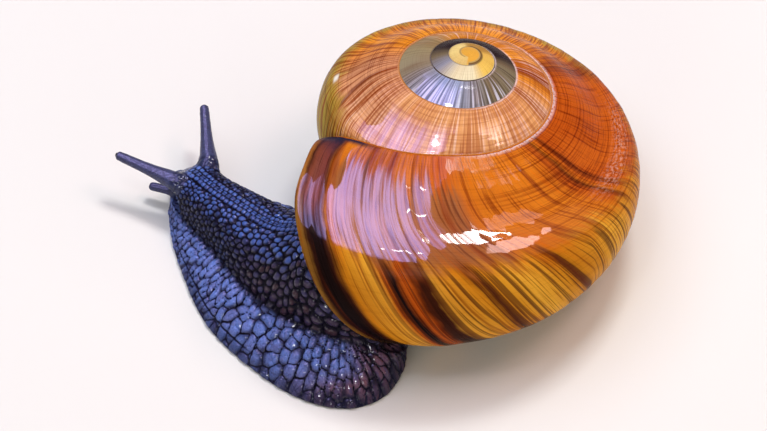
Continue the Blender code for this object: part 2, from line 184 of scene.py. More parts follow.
def patches(x, y, seed):
    """Smooth noise over a plane, from 0 to 1."""
    i, j = np.floor(x), np.floor(y)
    s, t = ease(x - i), ease(y - j)
    low = hash01(i, j, seed) * (1 - s) + hash01(i + 1, j, seed) * s
    high = hash01(i, j + 1, seed) * (1 - s) + hash01(i + 1, j + 1, seed) * s
    return low * (1 - t) + high * t


def cells(a, b, jitter, seed, power=2.0):
    """Jittered cells: distance to the nearest centre, width of the gap to the next cell, and
    the nearest cell's own random number."""
    row = np.floor(b)
    first = np.full(a.shape, 9.0)
    second = np.full(a.shape, 9.0)
    own = np.zeros(a.shape)
    for dr in (-1, 0, 1):
        r = row + dr
        shift = 0.5 * np.mod(r, 2.0)
        base = np.floor(a - shift)
        for dc in (-1, 0, 1):
            c = base + dc
            x = c + 0.5 + shift + jitter * (hash01(c, r, seed) - 0.5)
            y = r + 0.5 + jitter * (hash01(c, r, seed + 1.0) - 0.5)
            d = (np.abs(a - x) ** power + np.abs(b - y) ** power) ** (1 / power)
            closer = d < first
            second = np.where(closer, first, np.minimum(second, d))
            own = np.where(closer, hash01(c, r, seed + 2.0), own)
            first = np.where(closer, d, first)
    return first, second - first, own


def spline_bends(knots):
    """Matrix that turns values at the knots into a natural cubic spline's second slopes."""
    count = len(knots)
    step = np.diff(knots)
    left = np.zeros((count, count))
    right = np.zeros((count, count))
    left[0, 0] = left[-1, -1] = 1.0
    for i in range(1, count - 1):
        left[i, i - 1:i + 2] = (step[i - 1], 2 * (step[i - 1] + step[i]), step[i])
        right[i, i - 1:i + 2] = (6 / step[i - 1], -6 / step[i - 1] - 6 / step[i], 6 / step[i])
    return np.linalg.solve(left, right)


def spline(values, knots, bends, at):
    """Natural cubic spline: values run along the last axis, one row for each place in at."""
    curve = values @ bends.T
    i = np.clip(np.searchsorted(knots, at, side="right") - 1, 0, len(knots) - 2)
    h = (knots[1:] - knots[:-1])[i]
    t = at - knots[i]

    def pick(table, index):
        return np.take_along_axis(table, index[..., None], -1)[..., 0]

    y0, y1 = pick(values, i), pick(values, i + 1)
    m0, m1 = pick(curve, i), pick(curve, i + 1)
    slope = (y1 - y0) / h - h * (2 * m0 + m1) / 6
    return y0 + slope * t + m0 * t * t / 2 + (m1 - m0) * t ** 3 / (6 * h)


SECTION_BENDS = spline_bends(KNOTS)
STATION_KNOTS = np.arange(len(BODY_X), dtype=float)
LAST_STATION = STATION_KNOTS[-1]
STATION_BENDS = spline_bends(STATION_KNOTS)


# ==== shell surface
def suture(turn):
    """Radius of the suture and its distance down the axis, at a growth angle in radians."""
    radius = SUTURE_R * np.exp(GROWTH * turn + GROWTH_EASE * turn ** 2)
    drop = SPIRE_DROP * SUTURE_R * (np.hypot(radius, SPIRE_BLUNT) / SUTURE_R) ** SPIRE_POWER
    return radius, drop


def join_place(turn):
    """Place on the whorl below where the whorl at this growth angle begins."""
    share = np.clip((turn - LIP_DROP_START) / -LIP_DROP_START, 0.0, 1.0)
    return JOIN + LIP_DROP * share ** 2


def plain_section(turn, place):
    radius, drop = suture(turn)
    radius_out, drop_out = suture(turn + TAU)
    run = (radius_out - radius) / radius
    fall = (drop_out - drop) / radius
    chord = np.hypot(run, fall)
    one = np.ones_like(radius)
    points = (PERIPHERY, LOWER_SIDE, BASE, COLUMELLA)
    across = [0 * one, run / 2 + WHORL_BULGE * fall / chord, run] + [p[0] * one for p in points]
    down = [0 * one, fall / 2 - WHORL_BULGE * run / chord, fall] + [p[1] * one for p in points]
    out = spline(np.stack(across, -1), KNOTS, SECTION_BENDS, place)
    low = spline(np.stack(down, -1), KNOTS, SECTION_BENDS, place)
    return radius + radius * out, drop + radius * low


def section(turn, place):
    """Whorl section, with its upper edge moved to where the last suture slides down."""
    out, low = plain_section(turn, place)
    seat_out, seat_low = plain_section(turn - TAU, join_place(turn))
    edge_out, edge_low = plain_section(turn, 0 * place)
    fade = np.clip(1 - place / 0.5, 0, 1) ** 2 * (turn > LIP_DROP_START)
    return out + (seat_out - edge_out) * fade, low + (seat_low - edge_low) * fade


def shell_axes():
    axis = np.array((-math.sin(LEAN_RIGHT), math.sin(LEAN_BACK) * math.cos(LEAN_RIGHT),
                     math.cos(LEAN_BACK) * math.cos(LEAN_RIGHT)))
    ahead = np.array((0.0, -1.0, 0.0))
    ahead = unit(ahead - axis * (ahead @ axis))
    return axis, ahead, np.cross(axis, ahead)


AXIS, AHEAD, ACROSS = shell_axes()


def shell_surface(angle, place):
    """Point of the shell; growth lines slant back towards the base near the lip."""
    share = ease((angle - SLANT_START) / -SLANT_START)
    turn = angle + share * (LIP_SLANT[0] * place + LIP_SLANT[1] * place ** 2)
    out, low = section(turn, place)
    bearing = LIP_BEARING - turn
    spoke = np.cos(bearing)[..., None] * AHEAD + np.sin(bearing)[..., None] * ACROSS
    return APEX + out[..., None] * spoke - low[..., None] * AXIS


def shell_normal(angle, place):
    """Outward normal of the shell, by small steps along and across the whorl."""
    step = 0.004
    here = shell_surface(angle, place)
    back = shell_surface(angle - step, place)
    inner = place > 0.5
    side = shell_surface(angle, place + np.where(inner, -step, step))
    side = np.where(inner[..., None], here - side, side - here)
    return unit(np.cross(here - back, side))


def growth_lines(angle, place):
    """Growth angle in degrees, measured at the suture, of the growth line through a place."""
    degrees = np.degrees(angle)
    lean = np.interp(degrees, LEAN_AT, LEAN_BY) * (degrees > -400.0)
    share = place / 0.5
    return degrees - lean * share * (0.7 + 0.3 * share)


def whorl_length(degrees):
    """Distance in millimetres along the whorl's crown, measured from the lip."""
    table = np.linspace(-TURNS * TAU - 1.0, 1.0, 800)
    radius = 1.5 * suture(table)[0]
    run = running_sum((radius[1:] + radius[:-1]) / 2 * np.diff(table))
    run -= np.interp(0.0, table, run)
    return np.interp(np.radians(degrees), table, run)


def shell_relief(angle, place):
    """Height of growth welts, spiral threads and the groove at the suture, in millimetres."""
    line = growth_lines(angle, place)
    run = whorl_length(line) + 0.25 * patches(line * 0.05, place * 9.0, 3.0)
    size = np.clip(suture(angle)[0] / SUTURE_R, 0.12, 1.0)
    fresh = ease((np.degrees(angle) + 75.0) / 60.0)
    welts = (ripple(run * 0.42, 1.0) - 0.5) * 0.10 + (ripple(run * 0.95, 2.0) - 0.5) * 0.05
    welts = welts * (0.45 + 0.75 * fresh)
    ribs = (ripple(run * 1.9, 5.0) - 0.5) * 0.035
    threads = (ripple(place * 34.0, 4.0) - 0.5) * 0.02 * ease((-np.degrees(angle) - 20) / 60)
    away = place * AROUND * size
    cut = SUTURE_CUT[0] * size * np.exp(-(away / SUTURE_CUT[1]) ** 2)
    seat = join_place(np.minimum(angle + TAU, 0.0))
    seat_away = np.where(angle + TAU < 0, np.abs(seat - place) * AROUND * size, 9.0)
    cut = cut + SUTURE_CUT[0] * size * np.exp(-(seat_away / SUTURE_CUT[1]) ** 2)
    fade = ease(away / 0.6) * ease((1.0 - place) / 0.12)
    return (welts + ribs + threads) * fade * size ** 0.5 - cut


# ==== mesh makers
def metres(points):
    return (np.asarray(points, float) - CENTRE) * MM


def add_object(name, data):
    obj = bpy.data.objects.new(name, data)
    bpy.context.scene.collection.objects.link(obj)
    return obj


def make_mesh(name, points, faces):
    """Smooth mesh object from points and lists of point numbers, one for each face."""
    mesh = bpy.data.meshes.new(name)
    mesh.from_pydata([tuple(p) for p in points], [], faces)
    mesh.validate()
    mesh.shade_smooth()
    return add_object(name, mesh)


def read(items, name, width=3, kind=float):
    """Array of what each item of a mesh holds under a name."""
    values = np.zeros(len(items) * width, kind)
    items.foreach_get(name, values)
    return values.reshape(-1, width) if width > 1 else values


def store(mesh, name, values):
    """Keeps one number for each point, for the materials to read."""
    layer = mesh.attributes.new(name, "FLOAT", "POINT")
    layer.data.foreach_set("value", np.asarray(values, np.float32))


def grid_faces(index):
    """Quads of a grid of point numbers, with doubled corners dropped."""
    quads = np.stack([index[:-1, :-1], index[1:, :-1], index[1:, 1:], index[:-1, 1:]], -1)
    faces = []
    for quad in quads.reshape(-1, 4).tolist():
        loop = [c for k, c in enumerate(quad) if c != quad[k - 1]]
        if len(set(loop)) >= 3:
            faces.append(loop)
    return faces


# ==== shell
class Sheet:
    """Points of the shell with their growth line and place, and the faces between them."""

    def __init__(self):
        self.points, self.grow, self.place, self.inside, self.faces = [], [], [], [], []
        self.count = 0

    def add(self, co, grow, place, inside=0.0):
        co = np.asarray(co, float)
        shape = co.shape[:-1]
        size = int(np.prod(shape))
        self.points.append(co.reshape(-1, 3))
        for store_in, value in ((self.grow, grow), (self.place, place), (self.inside, inside)):
            store_in.append(np.broadcast_to(np.asarray(value, float), shape).ravel())
        self.count += size
        return self.count - size + np.arange(size).reshape(shape)

    def outer(self, angle, place):
        """Grid of outer surface points, one row for each angle."""
        angle, place = np.broadcast_arrays(angle[:, None], place)
        co = shell_surface(angle, place)
        co = co + shell_normal(angle, place) * shell_relief(angle, place)[..., None]
        return self.add(co, growth_lines(angle, place), place)

    def quads(self, index):
        self.faces += grid_faces(index)

    def fan(self, hub, rim):
        self.faces += [[hub, a, b] for a, b in zip(rim, rim[1:]) if a != b]

    def zip_rows(self, first, second):
        """Triangles between two rows of unlike length that share both ends in space."""
        i = j = 0
        while i < len(first) - 1 or j < len(second) - 1:
            ahead_i = (i + 1) / (len(first) - 1)
            ahead_j = (j + 1) / (len(second) - 1)
            if j == len(second) - 1 or (i < len(first) - 1 and ahead_i <= ahead_j):
                loop = [first[i], first[i + 1], second[j]]
                i += 1
            else:
                loop = [first[i], second[j + 1], second[j]]
                j += 1
            if len(set(loop)) == 3:
                self.faces.append(loop)


def lip_taper(place):
    """Full along the lip, fading where it meets the turn before and at the navel."""
    return ease(place / 0.06) * ease((0.985 - place) / 0.10)


def lip_layer(angle, depth, place):
    """Curve inside the outer surface by depth, at a growth angle, both fading at the ends."""
    taper = lip_taper(place)
    turn = angle * taper
    return shell_surface(turn, place) - shell_normal(turn, place) * (depth * taper)[:, None]


def close_nucleus(sheet, spire, first):
    """Low dome over the free inner edge of the first turn."""
    rim = np.concatenate([spire[:STEPS_PER_TURN + 1, 0], spire[0, ::-1][:-1]])
    rim_co = np.vstack(sheet.points)[rim]
    hub = APEX - AXIS * (suture(first)[1] - 0.10)
    rings = [rim]
    for k in range(1, NUCLEUS_RINGS):
        share = k / NUCLEUS_RINGS
        co = rim_co * (1 - share) + hub * share
        co = co + AXIS * NUCLEUS_DOME * math.sin(share * math.pi / 2)
        rings.append(sheet.add(co, math.degrees(first) - 60.0 * share, 0.0))
    top = sheet.add(hub + AXIS * NUCLEUS_DOME, math.degrees(first) - 90.0, 0.0)
    sheet.quads(np.stack(rings))
    sheet.fan(int(top), rings[-1].tolist())


def turn_inwards(sheet, lip, place):
    """Rounded rim of the lip, then the inner surface behind it."""
    taper = lip_taper(place)
    rows = [lip]
    ahead = unit(shell_surface(0 * place, place) - shell_surface(0 * place - 0.01, place))
    for k in range(1, RIM_ROWS + 1):
        a = math.pi * k / RIM_ROWS
        co = lip_layer(0 * place, LIP_THICK * (1 - math.cos(a)) / 2, place)
        co = co + ahead * (taper * LIP_THICK / 2 * math.sin(a))[:, None]
        rows.append(sheet.add(co, growth_lines(0 * place, place), place, k / RIM_ROWS))
    for k in range(1, INSIDE_STEPS + 1):
        angle = 0 * place - math.radians(INSIDE_DEG) * k / INSIDE_STEPS
        co = lip_layer(angle, LIP_THICK, place)
        rows.append(sheet.add(co, growth_lines(angle, place), place, 1.0))
    sheet.quads(np.stack(rows))


def shell_mesh(sheet, seam):
    """Mesh of the sheet with what its material reads, and a crisp line along the suture."""
    co = metres(np.vstack(sheet.points))
    co[:, 2] = np.maximum(co[:, 2], 0.0)
    obj = make_mesh("shell_skin", co, sheet.faces)
    mesh = obj.data
    grow, place, inside = (np.concatenate(x) for x in (sheet.grow, sheet.place, sheet.inside))
    size = np.clip(suture(np.radians(np.minimum(grow, 0)))[0] / SUTURE_R, 0.1, 1.0)
    for name, values in (("growth", grow), ("place", place), ("inside", inside),
                         ("along", whorl_length(grow)), ("across", place * AROUND * size)):
        store(mesh, name, values)
    on_seam = np.zeros(len(mesh.vertices), bool)
    on_seam[seam] = True
    sharp = on_seam[read(mesh.edges, "vertices", 2, np.int32)].all(1)
    mesh.attributes.new("sharp_edge", "BOOLEAN", "EDGE").data.foreach_set("value", sharp)
    clean(mesh)
    return obj


def build_shell():
    """The whole coil, its rim and what shows of its inside, as one mesh."""
    sheet = Sheet()
    step = TAU / STEPS_PER_TURN
    count = round(TURNS * STEPS_PER_TURN)
    angles = step * (np.arange(count + 1) - count)
    last = count - STEPS_PER_TURN
    fine = last - STEPS_PER_TURN
    seat = join_place(angles[:last + 1] + TAU)

    spire_share = np.linspace(0, 1, SPIRE_ROWS + 1)
    top_share = np.linspace(0, 1, TOP_ROWS + 1)
    spire = sheet.outer(angles[:fine], seat[:fine, None] * spire_share)
    crown = sheet.outer(angles[fine:last + 1], seat[fine:, None] * top_share)
    edge = np.concatenate([spire[:, -1], crown[:, -1]])
    # each turn starts on the lower edge of the turn before
    spire[STEPS_PER_TURN:, 0] = edge[:fine - STEPS_PER_TURN]
    crown[:, 0] = edge[fine - STEPS_PER_TURN:last + 1 - STEPS_PER_TURN]
    split = seat[-1]
    low_place = split + (1 - split) * np.linspace(0, 1, LOW_ROWS + 1)[1:]
    turn_top = sheet.outer(angles[last + 1:], split * top_share)
    turn_top[:, 0] = edge[last + 1 - STEPS_PER_TURN:count + 1 - STEPS_PER_TURN]
    turn_top = np.vstack([crown[-1:], turn_top])
    turn_low = sheet.outer(angles[last:], low_place)
    sheet.quads(spire)
    sheet.zip_rows(spire[-1].tolist(), crown[0].tolist())
    sheet.quads(crown)
    sheet.quads(turn_top)
    sheet.quads(np.hstack([turn_top[:, -1:], turn_low]))

    close_nucleus(sheet, spire, angles[0])
    # navel: the inner edge of the last turn runs up to the axis
    navel = int(sheet.add(APEX - AXIS * NAVEL_DEPTH, 0.0, 1.0, 1.0))
    sheet.fan(navel, turn_low[:, -1].tolist())

    # turn before the last, where it is seen through the aperture
    behind = round(INSIDE_DEG / 360 * STEPS_PER_TURN)
    spots = np.arange(last - behind, last)
    wall_share = np.linspace(0, 1, LOW_ROWS + 1)[1:]
    wall_place = seat[spots, None] + (1 - seat[spots, None]) * wall_share
    wall = sheet.outer(angles[spots], wall_place)
    wall = np.vstack([wall, turn_low[:1]])
    sheet.quads(np.hstack([crown[spots[0] - fine:last + 1 - fine, -1:], wall]))

    lip = np.concatenate([turn_top[-1], turn_low[-1]])
    turn_inwards(sheet, lip, np.concatenate([split * top_share, low_place]))
    return shell_mesh(sheet, edge)


def clean(mesh):
    """Drops loose points and turns all faces outwards."""
    bm = bmesh.new()
    bm.from_mesh(mesh)
    loose = [v for v in bm.verts if not v.link_faces]
    bmesh.ops.delete(bm, geom=loose, context="VERTS")
    bmesh.ops.recalc_face_normals(bm, faces=bm.faces)
    bm.to_mesh(mesh)
    bm.free()


# ==== body forms
def at_station(values, place):
    place = np.asarray(place, float)
    table = np.broadcast_to(np.array(values, float), place.shape + (len(values),))
    return spline(table, STATION_KNOTS, STATION_BENDS, place)


def body_frame(place):
    """Centre on the ground, the animal's left and the way to the tail, at stations."""
    place = np.asarray(place, float)
    a, b = np.maximum(place - 0.02, 0.0), np.minimum(place + 0.02, LAST_STATION)
    along = np.stack([at_station(BODY_X, b) - at_station(BODY_X, a),
                      at_station(BODY_Y, b) - at_station(BODY_Y, a)], -1)
    along = unit(along)
    centre = np.stack([at_station(BODY_X, place), at_station(BODY_Y, place)], -1)
    return centre, np.stack([along[..., 1], -along[..., 0]], -1), along


def ring_on_body(place, outline, ahead=0.0):
    """Outline of (to the left, up) pairs set across the body at a station."""
    centre, left, along = body_frame(place)
    flat = centre - along * ahead + left * outline[:, :1]
    return np.hstack([flat, outline[:, 1:]])


def softened(points, per):
    """Catmull-Rom curve through the points, with per steps between neighbours."""
    p = np.asarray(points, float)
    p = np.vstack([2 * p[0] - p[1], p, 2 * p[-1] - p[-2]])
    t = np.linspace(0, 1, per, endpoint=False)[:, None]
    rows = []
    for a, b, c, d in zip(p, p[1:], p[2:], p[3:]):
        rows.append(0.5 * (2 * b + (c - a) * t + (2 * a - 5 * b + 4 * c - d) * t ** 2
                           + (3 * b - a - 3 * c + d) * t ** 3))
    return np.vstack(rows + [p[-2:-1]])


def foot_outline(place):
    sole = float(at_station(SOLE_HALF, place))
    groove = float(at_station(GROOVE_HALF, place))
    top = float(at_station(GROOVE_HEIGHT, place))
    side = softened([(sole - 0.15, 0.0), (sole, 0.2), (sole - 0.05, FRINGE),
                     (sole * 0.72 + groove * 0.28, top * 0.42 + 0.25),
                     (sole * 0.40 + groove * 0.60, top * 0.74 + 0.18),
                     (groove + 0.40, top - 0.04), (groove + 0.10, top - 0.14),
                     (groove - 0.20, top - 0.55), (groove * 0.6, top - 0.6)], 4)
    mirror = side[::-1] * (-1, 1)
    return np.vstack([side, [(0.0, top - 0.6)], mirror,
                      [(-sole / 2, 0.0), (0.0, 0.0), (sole / 2, 0.0)]])


def body_outline(place):
    """Head and neck in one: a round head lifted off the foot, then an arched neck sunk in it."""
    a = np.radians(np.arange(0, 360, 7.5))
    c, s = np.cos(a), np.sin(a)
    groove = float(at_station(GROOVE_HALF, place))
    base = float(at_station(GROOVE_HEIGHT, place)) - NECK_SUNK
    high = float(at_station(BACK_HEIGHT, place))
    high -= BROW_DROP * max(0.0, 1.0 - place / 1.7)
    narrow = float(np.interp(place, (0.0, 1.0, 2.0, 3.0), SNOUT_NARROW))
    low = base + NECK_SUNK + 0.15 + HEAD_LIFT * max(0.0, 1.0 - place / HEAD_END)
    mid = low + (high - low) * 0.42
    head = np.stack([groove * narrow * np.sign(c) * np.abs(c) ** 0.9,
                     mid + np.where(s > 0, high - mid, mid - low) * s], 1)
    neck = np.stack([groove * np.sign(c) * np.abs(c) ** 0.85,
                     np.where(s > 0, base + (high - base) * np.abs(s) ** 0.85, base + 0.8 * s)], 1)
    share = float(ease(np.array((place - 1.3) / 1.5)))
    return head * (1 - share) + neck * share


def closed_form(name, rings, first=None):
    """Closed mesh object through equal rings, each end closed by a fan."""
    rings = np.asarray(rings)
    count, size = rings.shape[:2]
    points = np.vstack([rings.reshape(-1, 3),
                        rings[0].mean(0) if first is None else first,
                        rings[-1].mean(0)])
    index = np.arange(count * size).reshape(count, size)
    index = np.hstack([index, index[:, :1]])
    faces = grid_faces(index)
    for hub, row in ((count * size, index[0]), (count * size + 1, index[-1])):
        faces += [[hub, int(a), int(b)] for a, b in zip(row, row[1:])]
    obj = make_mesh(name, points, faces)
    clean(obj.data)
    return obj


def lofted_form(name, outline, stops, level):
    """Closed form through outlines at the stations; its front is round like the nose of a ball."""
    rings = []
    for a in np.radians((75.0, 50.0, 25.0)):
        shape = outline(0.0)
        shape[:, 0] *= math.cos(a)
        shape[:, 1] = level + (shape[:, 1] - level) * math.cos(a)
        rings.append(ring_on_body(0.0, shape, SNOUT_REACH * math.sin(a)))
    rings += [ring_on_body(p, outline(p)) for p in stops]
    hub = ring_on_body(0.0, np.array([(0.0, level)]), SNOUT_REACH)[0]
    return closed_form(name, rings, hub)


def feeler_line(root, spread, rise, side):
    """Root point and aim of a feeler that leaves the head."""
    centre, left, along = body_frame(2.0)
    flat = centre - along * root[0] + left * root[1] * side
    aim = -along * math.cos(spread) + left * math.sin(spread) * side
    base = np.array((flat[0], flat[1], root[2]))
    return base, np.array((aim[0] * math.cos(rise), aim[1] * math.cos(rise), math.sin(rise)))


def spokes(aim, count):
    """Ring of unit vectors square to a feeler's aim."""
    u = unit(np.cross(aim, (0.0, 0.0, 1.0)))
    v = np.cross(u, aim)
    a = np.linspace(0, TAU, count, endpoint=False)
    return np.cos(a)[:, None] * u + np.sin(a)[:, None] * v


def feeler_form(name, line, length, radii, ball):
    """Tapered feeler, sunk in the head; with a ball radius it ends as a cup for the eye."""
    base, aim = line
    stops = np.linspace(-1.0, length, 44)
    share = np.clip(stops / length, 0, 1) ** (1 / 1.25) * (len(radii) - 1)
    size = np.interp(share, range(len(radii)), radii)
    size *= np.sqrt(1 - np.clip(-stops, 0, 0.97) ** 2)
    if ball:
        cup = ball + 0.045
        near = length - stops
        size = np.where(near < cup * 0.8, np.maximum(size * 0.94, cup * 0.98), size)
        ends = np.array((0.08, 0.16, 0.24))
        stops = np.concatenate([stops, length + ends])
        size = np.concatenate([size, np.sqrt(cup ** 2 - ends ** 2)])
    else:
        ends = np.radians((30.0, 60.0, 80.0))
        stops = np.concatenate([stops, length + 0.25 * np.sin(ends)])
        size = np.concatenate([size, radii[-1] * np.cos(ends)])
    ring = spokes(aim, 24)
    rings = [base + aim * t + ring * r for t, r in zip(stops, size)]
    return closed_form(name, rings)


def mantle_form():
    """Flesh that fills the aperture, a little behind the lip."""
    q = np.linspace(0.03, 0.992, 60)
    deep = (0.05 + 0.29 * ease((0.97 - q) / 0.12))[:, None]
    rings = []
    for degrees, shrink in ((-16, 0.0), (-12, 0.0), (-9, 0.01), (-7, 0.05), (-5.5, 0.16)):
        angle = math.radians(degrees)
        inset = shell_surface(angle + 0 * q, q) - shell_normal(angle + 0 * q, q) * deep
        seat = float(join_place(np.array(angle)))
        wall_place = (seat + (1 - seat) * q)[::-1]
        turned = angle - TAU + (LIP_SLANT[0] * q + LIP_SLANT[1] * q ** 2)[::-1]
        wall = shell_surface(turned, wall_place) - shell_normal(turned, wall_place) * 0.4
        ring = np.vstack([inset, wall])
        rings.append(ring + (ring.mean(0) - ring) * shrink)
    return closed_form("mantle_form", rings)


def cad_copy(node, name):
    """Welded copy of a solid, in layout millimetres, to cut with."""
    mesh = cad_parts[node].data.copy()
    bm = bmesh.new()
    bm.from_mesh(mesh)
    bmesh.ops.remove_doubles(bm, verts=bm.verts, dist=1e-7)
    for v in bm.verts:
        v.co = Vector(np.array(v.co) / MM + CENTRE)
    bm.to_mesh(mesh)
    bm.free()
    return add_object(name, mesh)


def apply_modifiers(obj):
    graph = bpy.context.evaluated_depsgraph_get()
    mesh = bpy.data.meshes.new_from_object(obj.evaluated_get(graph))
    obj.modifiers.clear()
    obj.data = mesh


def nearest_forms(forms, co):
    """Distance from each point to each form's surface."""
    gaps = np.empty((len(forms), len(co)))
    for k, form in enumerate(forms):
        tree = BVHTree.FromPolygons([v.co for v in form.data.vertices],
                                    [p.vertices for p in form.data.polygons])
        gaps[k] = [tree.find_nearest(Vector(p))[3] for p in co]
    return gaps


class Links:
    """Neighbour averages over a mesh."""

    def __init__(self, mesh):
        self.a, self.b = read(mesh.edges, "vertices", 2, np.int32).T
        self.count = len(mesh.vertices)
        self.links = np.maximum(np.bincount(self.a, minlength=self.count)
                                + np.bincount(self.b, minlength=self.count), 1)

    def mean(self, values):
        n = self.count
        total = np.bincount(self.a, values[self.b], n) + np.bincount(self.b, values[self.a], n)
        return total / self.links

    def soften(self, values, times, weight=1.0):
        for _ in range(times):
            values = values + 0.5 * weight * (self.mean(values) - values)
        return values


def make_forms(eye_lines, low_lines):
    """Closed forms of the flesh: foot, head and neck, mantle, then the four feelers."""
    cutter = cad_copy("shell", "shell_cutter")
    foot_stops = np.concatenate([np.linspace(0, 7, 57), np.linspace(7, LAST_STATION, 34)[1:]])
    forms = [lofted_form("foot_form", foot_outline, foot_stops, TOE_LEVEL),
             lofted_form("body_form", body_outline, np.linspace(0, NECK_END, 80), SNOUT_LEVEL)]
    for form in forms:
        cut = form.modifiers.new("clear_shell", "BOOLEAN")
        cut.operation = "DIFFERENCE"
        cut.solver = "EXACT"
        cut.object = cutter
        apply_modifiers(form)
    forms.append(mantle_form())
    forms += [feeler_form("eye_stalk_form", line, EYE_STALK_LENGTH, EYE_STALK_SKIN, EYE_RADIUS)
              for line in eye_lines]
    forms += [feeler_form("low_feeler_form", line, LOWER_FEELER_LENGTH, LOWER_FEELER_SKIN, 0.0)
              for line in low_lines]
    bpy.data.objects.remove(cutter)
    return forms


def joined_skin(forms):
    """One even mesh over all the forms."""
    bm = bmesh.new()
    for form in forms:
        bm.from_mesh(form.data)
    mesh = bpy.data.meshes.new("skin")
    bm.to_mesh(mesh)
    bm.free()
    skin = add_object("skin", mesh)
    remesh = skin.modifiers.new("even", "REMESH")
    remesh.mode = "VOXEL"
    remesh.voxel_size = VOXEL
    apply_modifiers(skin)
    return skin


def thin_out(skin, spare, goal):
    """Fewer faces where nothing is seen: under the sole and inside the shell."""
    group = skin.vertex_groups.new(name="spare")
    group.add(np.flatnonzero(spare).tolist(), 1.0, "REPLACE")
    triangles = 2 * len(skin.data.polygons)
    thin = skin.modifiers.new("thin", "DECIMATE")
    thin.ratio = min(1.0, goal / triangles)
    thin.vertex_group = "spare"
    thin.vertex_group_factor = 1.0
    apply_modifiers(skin)
    skin.vertex_groups.clear()


def in_chunks(function, co):
    """Runs a table search over the points a few thousand at a time."""
    parts = [function(co[i:i + 4000]) for i in range(0, len(co), 4000)]
    return [np.concatenate(p) for p in zip(*parts)]


def along_body(co):
    """Station, way to the left and arc length along the body for each point."""
    stops = np.linspace(-0.4, LAST_STATION, 520)
    centre, left, along = body_frame(np.clip(stops, 0, None))
    centre = centre + along * np.minimum(stops, 0)[:, None] * 1.2
    steps = np.linalg.norm(np.diff(centre, axis=0), axis=1)
    arc = running_sum(steps)
    pace = np.gradient(arc, stops)

    def search(part):
        gap = part[:, None, :2] - centre[None]
        i = np.argmin((gap ** 2).sum(-1), 1)
        off = part[:, :2] - centre[i]
        ahead = (off * along[i]).sum(1)
        return stops[i] + ahead / pace[i], (off * left[i]).sum(1), arc[i] + ahead

    return in_chunks(search, co)


def margin_line():
    """Edge of the sole: from the toe down the left side, round the tail, up the right side."""
    stops = np.linspace(0, LAST_STATION, MARGIN_STOPS)
    centre, left, along = body_frame(stops)
    half = at_station(SOLE_HALF, stops)[:, None]
    toe = centre[:1] - along[:1] * SNOUT_REACH
    line = np.vstack([toe, centre + left * half, (centre - left * half)[::-1], toe])
    steps = np.linalg.norm(np.diff(line, axis=0), axis=1)
    return line, running_sum(steps)


def along_margin(co):
    """Arc length along the sole's edge and distance in from it for each point."""
    line, arc = margin_line()
    ahead = unit(np.gradient(line, axis=0))

    def search(part):
        gap = part[:, None, :2] - line[None]
        square = (gap ** 2).sum(-1)
        i = np.argmin(square, 1)
        off = part[:, :2] - line[i]
        step = (off * ahead[i]).sum(1)
        return arc[i] + step, np.sqrt(np.maximum(square[np.arange(len(part)), i] - step ** 2, 0))

    return in_chunks(search, co)


def running_count(size_at, length):
    """Number of cells passed up to each distance, for a cell size that changes on the way."""
    s = np.linspace(0, length, 600)
    pace = 1.0 / size_at(s)
    count = running_sum((pace[1:] + pace[:-1]) / 2 * np.diff(s))
    return lambda at: np.interp(at, s, count)


def flank_relief(m, inward, station):
    """Pebbled slabs of the foot's flank, in ranks that run in from the sole's edge: depth of
    the cut, share of groove, each slab's own number, share of tail and nearness to a rim."""
    arc = margin_line()[1]
    tip = arc[MARGIN_STOPS + 1]
    to_tip = np.abs(m - tip)
    tail = ease(1 - (to_tip - 4.0) / 12.0)
    rear = ease(1 - (to_tip - 6.0) / 20.0)
    width = np.maximum(at_station(SOLE_HALF, station) - at_station(GROOVE_HALF, station), 0.7)
    width = width * (1 - tail) + 5.2 * tail
    v = inward / width
    rank = running_count(lambda s: np.interp(np.abs(s - tip), *RANK_WIDTH), arc[-1])
    front = ease((to_tip - 20.0) / 8.0)
    wander = (0.40 + 0.55 * front) * (patches(m / 2.1, inward / 1.6, 31.0) - 0.5)
    a = rank(m) + wander * (1 - 0.8 * tail)
    cols = np.interp(to_tip, *SLABS_INWARD) * v
    cols = cols + (0.5 + 0.5 * front) * (patches(m / 1.7, inward / 2.0, 37.0) - 0.5)
    cols = cols * (1 - 0.2 * tail)
    # slabs, split here and there into small ones
    first, gap, own = cells(cols, a, 0.55, 3.0, 2.5)
    slab = 1 - ease(gap / 0.17)
    _, small_gap, small_own = cells(cols * 2.3, a * 2.2, 0.7, 11.0, 2.3)
    fine = 1 - ease(small_gap / 0.26)
    split = ease((hash01(np.floor(own * 997.0), 0.0, 5.0) - 0.10) / 0.3) * (1 - 0.6 * tail)
    # some furrows between ranks are deep, as all are on the tail
    rank_cut = 1 - ease(np.abs(np.mod(a + 0.5, 1.0) - 0.5) / 0.12)
    deep_rank = np.maximum(hash01(np.round(a), 0.0, 8.0) > 0.55, tail)
    rank_cut = rank_cut * (0.25 + 0.75 * deep_rank)
    # one furrow sets off a strip along the sole's edge
    strip = ease((v - 0.13) / 0.02) * ease((0.19 - v) / 0.02) * (1 - ease((m - 22.0) / 6.0))
    groove = np.clip(np.maximum.reduce([slab * (1 - 0.40 * tail), 0.60 * fine * split,
                                        rank_cut, 0.75 * strip]), 0, 1)
    depth = (SLAB_CUT * slab * (1 - 0.3 * tail) + FINE_CUT * fine * split + RANK_CUT * rank_cut
             + STRIP_CUT * strip + SLAB_DOME * np.clip(first, 0, 0.9) ** 2)
    number = 0.65 * own + 0.35 * small_own
    low = rear * ease(1 - v / 0.75)
    return depth, groove, number, np.maximum(tail, low), np.clip(first / 0.7, 0, 1) ** 2


